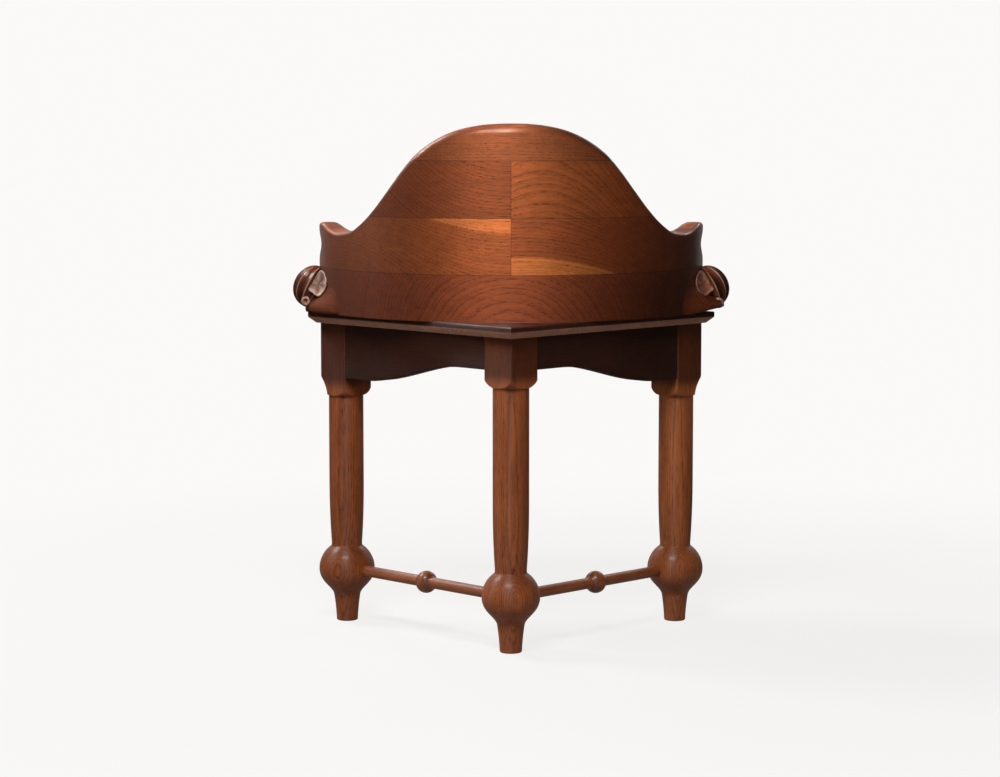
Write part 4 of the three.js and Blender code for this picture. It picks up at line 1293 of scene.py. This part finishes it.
@dataclass
class Scrolls:
    """Carved scrolls on the arm ends: a fluted bud, a hollow leaf, a dimpled ball and a foot."""

    back: Back
    cuts: tuple[ScrollCut, ...] = (
        # the leaf's painted reflection is weaker on the right, which lies on the dim side
        ScrollCut(Side.LEFT, 23 * MM, 0.0, 7.4 * MM, (7.5 * MM, 19.5 * MM, -18.5 * MM), 1.0),
        ScrollCut(Side.RIGHT, 35 * MM, 0.28, 7.6 * MM, (11 * MM, 18 * MM, -20 * MM), 0.3),
    )
    angle_share: float = 0.985
    proud: float = 9.3 * MM
    centre_rise: float = 33 * MM
    bulge: float = 26.5 * MM
    half_height: float = 29 * MM
    tilt: float = math.radians(26)
    flutes: int = 12
    flute: float = 2.6 * MM
    flute_phase: float = math.radians(15)
    # painted light on the bud: highlights along the edges, shade over its flanks
    ridge_width: float = 0.34
    ridge_highlight: float = 1.9
    bud_shade: float = 0.8
    dimple: float = 0.34
    dimple_spread: float = 0.5
    dimple_facing: tuple[float, float, float] = (0.15, 0.96, 0.2)
    foot_start: float = 0.74
    foot_full: float = 0.945
    foot_height: float = 40 * MM
    foot_full_height: float = 5 * MM
    foot_ease: float = 3 * MM
    foot_root: float = 0.6 * MM
    foot_flat: float = 8 * MM
    leaf_centre: tuple[float, float, float] = (-8.5 * MM, 29.5 * MM, 6 * MM)
    leaf_facing: tuple[float, float] = (26.0, 16.0)
    leaf_outline: tuple[tuple[float, float], ...] = (
        (0, 6.8), (35, 6.8), (72, 9), (97, 17.5), (135, 13.5), (180, 12), (225, 13.5),
        (255, 17), (297, 12.5), (326, 14.5), (346, 8),
    )  # degrees and millimetres
    leaf_ripple: int = 3  # points to each side that its outline is smoothed over
    leaf_rays: int = 5
    # painted reflection of the bright surroundings on the leaf
    leaf_reflection_shares: tuple[float, float, float] = (0.2, 0.45, 0.4)  # rays, middle and rim
    leaf_depth: float = 2.4 * MM
    leaf_rim: float = 1.1 * MM
    leaf_back: float = 9 * MM
    gap: float = 0.3 * MM
    heart: str = "#8c4420"

    def centre(self) -> np.ndarray:
        """The bud's centre on the left side."""
        angle = self.angle_share * self.back.end_angle(self.centre_rise)
        return self.back.at(self.back.radius + self.proud, angle, self.centre_rise)

    def globe(self, pole: np.ndarray, rows: int, columns: int) -> tuple[np.ndarray, ...]:
        """Rays from a ball's centre, in rings about a pole.

        Args:
            pole: Direction of the pole.
            rows: Rings from pole to pole.
            columns: Points to a ring.

        Returns:
            Angle from the pole, angle round it, and the unit rays.
        """
        polar, around = np.linspace(0, math.pi, rows)[:, None], circle(columns)
        side = unit(np.cross(pole, UP))
        up = np.cross(side, pole)
        rays = (np.cos(polar)[..., None] * pole + (np.sin(polar) * np.cos(around))[..., None] * side
                + (np.sin(polar) * np.sin(around))[..., None] * up)
        return polar, around, rays

    def bud(self) -> tuple[np.ndarray, np.ndarray]:
        """The bud on the left side, about its own centre.

        A ball leans on its lower pole towards the outside. Flutes run from pole to pole:
        their depth follows |sin(n a / 2)| of the angle a round the axis, so the edges between
        them stay sharp. Painted highlights lie along the edges, and painted shade darkens the
        bud away from its poles.

        Returns:
            Points and tones.
        """
        axis = np.array([-math.sin(self.tilt), 0.0, math.cos(self.tilt)])
        polar, around, rays = self.globe(axis, 120, 24 * self.flutes)
        hollow = np.abs(np.sin(self.flutes / 2 * (around - self.flute_phase)))
        flute = self.flute * hollow * np.sin(polar)
        reach = self.bulge + (self.half_height - self.bulge) * np.cos(polar) ** 2 - flute
        # painted highlight along the edges and painted shade away from the poles
        highlit = np.clip(1 - hollow / self.ridge_width, 0, 1) * np.sin(polar)
        return rays * reach[..., None], self.ridge_highlight * highlit - self.bud_shade * np.sin(polar)

    def ball(self, radius: float) -> tuple[np.ndarray, np.ndarray]:
        """The small ball, which sinks by a bell curve about a pole at the back.

        Args:
            radius: The ball's radius.

        Returns:
            Points and tones.
        """
        polar, _, rays = self.globe(unit(np.array(self.dimple_facing)), 50, 72)
        sunk = 1 - self.dimple * np.exp(-(polar / self.dimple_spread) ** 2)
        # painted highlight on a ring round the dimple, painted shade in its middle
        rim = np.exp(-((polar - 1.5 * self.dimple_spread) / (0.5 * self.dimple_spread)) ** 2)
        dimple_shade = np.exp(-(polar / (0.8 * self.dimple_spread)) ** 2)
        return rays * (radius * sunk)[..., None], 0.8 * rim - dimple_shade

    def leaf(self, leaf_reflection: float) -> tuple[np.ndarray, np.ndarray]:
        """The hollow leaf, about the bud's centre.

        A shallow dish, whose depth falls off as (1 - s^2) from its middle to its rim, ends in
        a narrow rounded rim. The back closes it inside the bud.

        Args:
            leaf_reflection: How strong the leaf's painted reflection is.

        Returns:
            Points and tones.
        """
        azimuth, elevation = (math.radians(angle) for angle in self.leaf_facing)
        facing = np.array([math.sin(azimuth) * math.cos(elevation),
                           math.cos(azimuth) * math.cos(elevation), math.sin(elevation)])
        across = unit(np.cross(facing, UP))
        up = np.cross(across, facing)
        around = circle(120)
        angles, reaches = np.array(self.leaf_outline).T
        rim = np.interp(np.degrees(around), angles, reaches, period=360) * MM
        steps = range(-self.leaf_ripple, self.leaf_ripple + 1)
        rim = sum(np.roll(rim, step) for step in steps) / len(steps)
        dish = np.linspace(0, 1, 24)
        share = np.concatenate([dish, [1.04, 1.09, 1.12, 0.95, 0.0]])[:, None]
        sink = np.concatenate([
            -self.leaf_depth * (1 - dish ** 2) + self.leaf_rim * dish ** 8,
            [self.leaf_rim, 0.6 * self.leaf_rim, -self.leaf_rim, -self.leaf_back, -2 * self.leaf_back],
        ])[:, None, None]
        flat = ((share * rim * np.cos(around))[..., None] * across
                + (share * rim * np.sin(around))[..., None] * up)
        # painted reflection: pale rays, middle and rim
        rays, middle, edge = self.leaf_reflection_shares
        leaf_light = leaf_reflection * (rays * np.sin(self.leaf_rays * around) + middle + edge * share ** 6)
        return flat + sink * facing + np.array(self.leaf_centre), np.where(share > 1.1, 0.0, leaf_light)

    def foot(self, cut: ScrollCut) -> np.ndarray:
        """The foot's points in the world, on the left side.

        It swells out of the arm's face by an S curve of the arm's angle, with a round nose,
        and runs back into the face by an S curve of its height. The lower edge is eased by a
        quarter circle.

        Args:
            cut: The scroll that it belongs to.

        Returns:
            Stations, points round the section and coordinates.
        """
        share = np.linspace(self.foot_start, 1, 70)[:, None]
        swell = smoothstep((share - self.foot_start) / (self.foot_full - self.foot_start))
        nose = np.clip((share - self.foot_full) / (1 - self.foot_full), 0, 1)
        reach = cut.reach * swell * np.sqrt(1 - nose ** 2)
        low = self.gap + cut.undercut * np.clip(reach - self.foot_flat, 0, None)
        height = low + (self.foot_height - low) * np.linspace(0, 1, 40) ** 1.5
        fall = smoothstep((height - self.foot_full_height) / (self.foot_height - self.foot_full_height))
        short = np.clip(self.foot_ease - (height - low), 0, None)
        ease = self.foot_ease - np.sqrt(self.foot_ease ** 2 - short ** 2)
        push = np.maximum(reach * (1 - fall) - ease, 0.02 * MM)
        face = np.full((len(share), 1), self.back.radius - self.foot_root)
        radius = np.hstack([face, face + push, face])
        height = np.hstack([height[:, :1], height, height[:, -1:]])
        return self.back.at(radius, share * self.back.arm_angle, height)

    def cut_at_arm(self, points: np.ndarray, centre: np.ndarray) -> np.ndarray:
        """Cuts a form off where it meets the arm's outer face and the seat.

        Each point lies on a ray from the form's centre, which is outside the arm. A ray
        that meets the arm's round face stops there: the smaller root t of
        |c + t d|^2 = r^2, level parts alone. A ray that meets the seat stops there too.

        Args:
            points: Points about the form's centre.
            centre: The form's centre in the world.

        Returns:
            The points in the world.
        """
        flat = centre[:2] - (0, self.back.centre_y)
        face = self.back.radius + self.gap
        a = np.sum(points[..., :2] ** 2, axis=-1)
        b = points[..., :2] @ flat
        c = flat @ flat - face ** 2
        root = np.maximum(b * b - a * c, 0)
        t = (-b - np.sqrt(root)) / np.maximum(a, 1e-12)
        hit = flat + t[..., None] * points[..., :2]
        on_arm = np.arctan2(hit[..., 0], hit[..., 1]) < self.back.arm_angle + self.gap / face
        meets = (b * b > a * c) & (t > 0) & (t < 1) & on_arm
        stop = np.where(meets, t, 1.0)
        floor = SEAT_TOP + self.gap - centre[2]
        low = points[..., 2] * stop < floor
        stop = np.where(low, floor / np.minimum(points[..., 2], -1e-9), stop)
        return centre + points * stop[..., None]

    def build(self) -> None:
        """Builds and dresses both scrolls."""
        centre = self.centre()
        for cut in self.cuts:
            mirror = (cut.side.value, 1, 1)
            skin = Surface()
            for (form, tone), middle in (
                (self.bud(), centre),
                (self.leaf(cut.leaf_reflection), centre),
                (self.ball(cut.ball), centre + np.array(cut.ball_offset)),
            ):
                skin.add_grid(self.cut_at_arm(form, middle) * mirror, tone=tone)
            skin.add_grid(self.foot(cut) * mirror, capped=True)
            wood = VarnishedOak(
                f"scroll_oak_{cut.side.word}", "base_wood", self.heart,
                pith=(0.0, float(centre[1]) + 30 * MM, SEAT_TOP - 20 * MM), carved=True,
                fibre_glow=self.back.fibre_glow, roughness=self.back.glow_roughness,
                fibre_spread=self.back.glow_spread,
            )
            skin.build(f"scroll_{cut.side.word}", "carved", wood)


@dataclass
class HiddenParts:
    """Dowels, tongues, braces and screws, which keep their solids and get their finish."""

    beech_words: tuple[str, ...] = ("dowel", "tongue", "brace")

    def build(self) -> None:
        """Gives each hidden node its finish."""
        beech, steel = BareBeech().material(), BrightSteel().material()
        for name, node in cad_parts.items():
            if "screw" in name:
                finish = steel
            elif any(word in name for word in self.beech_words):
                finish = beech
            else:
                continue
            node.data.materials.clear()
            node.data.materials.append(finish)
            LOG.info("%s: %s", name, finish.name)


@dataclass(frozen=True)
class Lamp:
    """A flat lamp that points at the stool.

    Attributes:
        name: Its name.
        azimuth: Degrees to the left of the camera's direction, seen from the stool.
        elevation: Degrees above level.
        distance: From the place that it points at.
        size: Its width and height.
        power: In watts.
        beam: Width of its beam in degrees.
        aim: Height that it points at.
    """

    name: str
    azimuth: float
    elevation: float
    distance: float
    size: tuple[float, float]
    power: float
    beam: float = 180.0
    aim: float = 0.45

    def build(self) -> None:
        """Hangs the lamp."""
        data = bpy.data.lights.new(self.name, "AREA")
        data.shape = "RECTANGLE"
        data.size, data.size_y = self.size
        data.energy = self.power
        data.spread = math.radians(self.beam)
        lamp = bpy.data.objects.new(self.name, data)
        a, e = math.radians(self.azimuth), math.radians(self.elevation)
        direction = Vector((math.sin(a) * math.cos(e), math.cos(a) * math.cos(e), math.sin(e)))
        lamp.location = Vector((0, 0, self.aim)) + direction * self.distance
        lamp.rotation_euler = direction.to_track_quat("Z", "Y").to_euler()
        bpy.context.scene.collection.objects.link(lamp)


@dataclass
class Studio:
    """A pale floor and backdrop under six lamps.

    A steep key lamp and a fill from the left give the plain level, two narrow beams draw the
    gleam down the middle and the left flank of the back, and two rims edge it from the front.
    """

    lamps: tuple[Lamp, ...] = (
        Lamp("key", 14, 46, 2.4, (1.0, 0.6), 48),
        Lamp("glow", 5, 30, 2.6, (0.4, 0.3), 0.48, beam=12.5, aim=0.56),
        Lamp("side_glow", 110, 32, 2.6, (0.4, 0.3), 0.22, beam=10, aim=0.57),
        Lamp("fill", 112, 45, 2.4, (0.7, 0.7), 40),
        Lamp("rim", 150, 30, 2.8, (0.6, 0.5), 9),
        Lamp("far_rim", -150, 30, 2.8, (0.6, 0.5), 7),
    )
    page: str = "#faf9f7"
    floor_tone: str = "#bdb6ab"
    floor_side: float = 14.0
    shadow_share: float = 0.17
    lit_level: float = 1.4
    floor_shine: float = 0.3
    backdrop_size: tuple[float, float] = (4.4, 2.4)
    backdrop_distance: float = 2.6
    backdrop_shine: float = 0.55
    fade: tuple[float, float] = (0.5, 1.6)
    shine_fade: tuple[float, float] = (0.45, 0.8)
    ambient: float = 0.03
    mirrored_ambient: float = 0.1
    camera_offset: tuple[float, float, float] = (-2.17 * MM, 3422.49 * MM, 692.62 * MM)
    pitch: float = math.radians(5.916)
    yaw: float = math.radians(0.268)
    focal_pixels: float = 2722.97
    picture_width: int = 1000
    sensor: float = 36.0
    far_clip: float = 60.0

    def camera(self) -> None:
        """Stands the camera behind the stool, its focal length from pixels to millimetres."""
        data = bpy.data.cameras.new("camera")
        data.sensor_width = self.sensor
        data.lens = self.focal_pixels / self.picture_width * self.sensor
        data.clip_end = self.far_clip
        camera = bpy.data.objects.new("camera", data)
        camera.location = Vector(BACK_LEG) + Vector(self.camera_offset)
        camera.rotation_euler = (math.pi / 2 - self.pitch, 0.0, math.pi + self.yaw)
        bpy.context.scene.collection.objects.link(camera)
        bpy.context.scene.camera = camera

    def sheet(self, name: str, corners: tuple, material: bpy.types.Material) -> None:
        """Adds a flat sheet to the stage.

        Args:
            name: The sheet's name.
            corners: Its four corners.
            material: Its paint.
        """
        mesh = bpy.data.meshes.new(name)
        mesh.from_pydata(corners, [], [(0, 1, 2, 3)])
        mesh.materials.append(material)
        sheet = bpy.data.objects.new(name, mesh)
        bpy.context.scene.collection.objects.link(sheet)

    def page_light(
        self, tree: bpy.types.NodeTree, strength: bpy.types.Node | float = 1.0
    ) -> bpy.types.Node:
        """Light of the page's tone."""
        return add_node(tree, "Emission", {"Color": linear(self.page), "Strength": strength})

    def floor(self) -> None:
        """Lays the floor: it keeps the stool's shadow and fades to the page's tone far off."""
        material, tree = new_material("painted_floor")
        place = add_node(tree, "TexCoord").outputs["Object"]
        far = add_node(tree, "VectorMath", {0: place}, operation="LENGTH").outputs["Value"]
        path = add_node(tree, "LightPath").outputs
        grey = self.shadow_share / self.lit_level
        veil = add_node(tree, "BsdfDiffuse", {"Color": (grey, grey, grey, 1)})
        lifted = add_node(tree, "AddShader", {0: veil, 1: self.page_light(tree, 1 - self.shadow_share)})
        share = add_node(tree, "MapRange", dict(enumerate((far, *self.fade))),
                         interpolation_type="SMOOTHSTEP")
        seen = add_node(tree, "MixShader", {0: share, 1: lifted, 2: self.page_light(tree)})
        glint = add_node(tree, "MapRange", dict(enumerate(
            (far, *self.shine_fade, self.floor_shine, 0.0),
        )))
        matt = add_node(tree, "BsdfDiffuse", {"Color": linear(self.floor_tone)})
        unseen = add_node(tree, "MixShader", {
            0: path["Is Glossy Ray"], 1: matt, 2: self.page_light(tree, glint),
        })
        shader = add_node(tree, "MixShader", {0: path["Is Camera Ray"], 1: unseen, 2: seen})
        add_node(tree, "OutputMaterial", {"Surface": shader})
        half = self.floor_side / 2
        corners = ((-half, -half, 0), (half, -half, 0), (half, half, 0), (-half, half, 0))
        self.sheet("floor", corners, material)

    def backdrop(self) -> None:
        """Hangs a sheet before the stool, which its varnish mirrors where it is seen aslant.

        The camera sees the world's page tone through it, from the front the stool as well.
        """
        material, tree = new_material("paper_backdrop")
        path = add_node(tree, "LightPath").outputs
        matt = add_node(tree, "BsdfDiffuse", {"Color": linear(self.floor_tone)})
        unseen = add_node(tree, "MixShader", {
            0: path["Is Glossy Ray"], 1: matt, 2: self.page_light(tree, self.backdrop_shine),
        })
        clear = add_node(tree, "BsdfTransparent")
        shader = add_node(tree, "MixShader", {0: path["Is Camera Ray"], 1: unseen, 2: clear})
        add_node(tree, "OutputMaterial", {"Surface": shader})
        half, height, y = self.backdrop_size[0] / 2, self.backdrop_size[1], -self.backdrop_distance
        corners = ((half, y, 0), (-half, y, 0), (-half, y, height), (half, y, height))
        self.sheet("backdrop", corners, material)

    def world(self) -> None:
        """Shows the page's tone to the camera and gives all else a dim even light."""
        world = bpy.data.worlds.new("studio")
        world.use_nodes = True
        tree = world.node_tree
        tree.nodes.clear()
        path = add_node(tree, "LightPath").outputs
        strength = add_node(tree, "MapRange", {
            0: path["Is Glossy Ray"], 3: self.ambient, 4: self.mirrored_ambient,
        })
        dim = add_node(tree, "Background", {"Color": (1, 1, 1, 1), "Strength": strength})
        page = add_node(tree, "Background", {"Color": linear(self.page)})
        shader = add_node(tree, "MixShader", {0: path["Is Camera Ray"], 1: dim, 2: page})
        add_node(tree, "OutputWorld", {"Surface": shader})
        bpy.context.scene.world = world

    def build(self) -> None:
        """Sets up the camera, floor, backdrop, lamps and world."""
        self.camera()
        self.floor()
        self.backdrop()
        for lamp in self.lamps:
            lamp.build()
        self.world()
        bpy.context.scene.view_settings.view_transform = "Standard"


def main() -> None:
    """Builds the stool's pieces and the studio."""
    logging.basicConfig(level=logging.INFO, format="%(name)s %(message)s")
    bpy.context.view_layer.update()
    legs, back = Legs(), Back()
    groups = (legs, FrameRails(legs), Seat(), back, Scrolls(back), HiddenParts(), Studio())
    for group in groups:
        group.build()
        LOG.info("%s done", type(group).__name__)


if __name__ == "__main__":
    main()
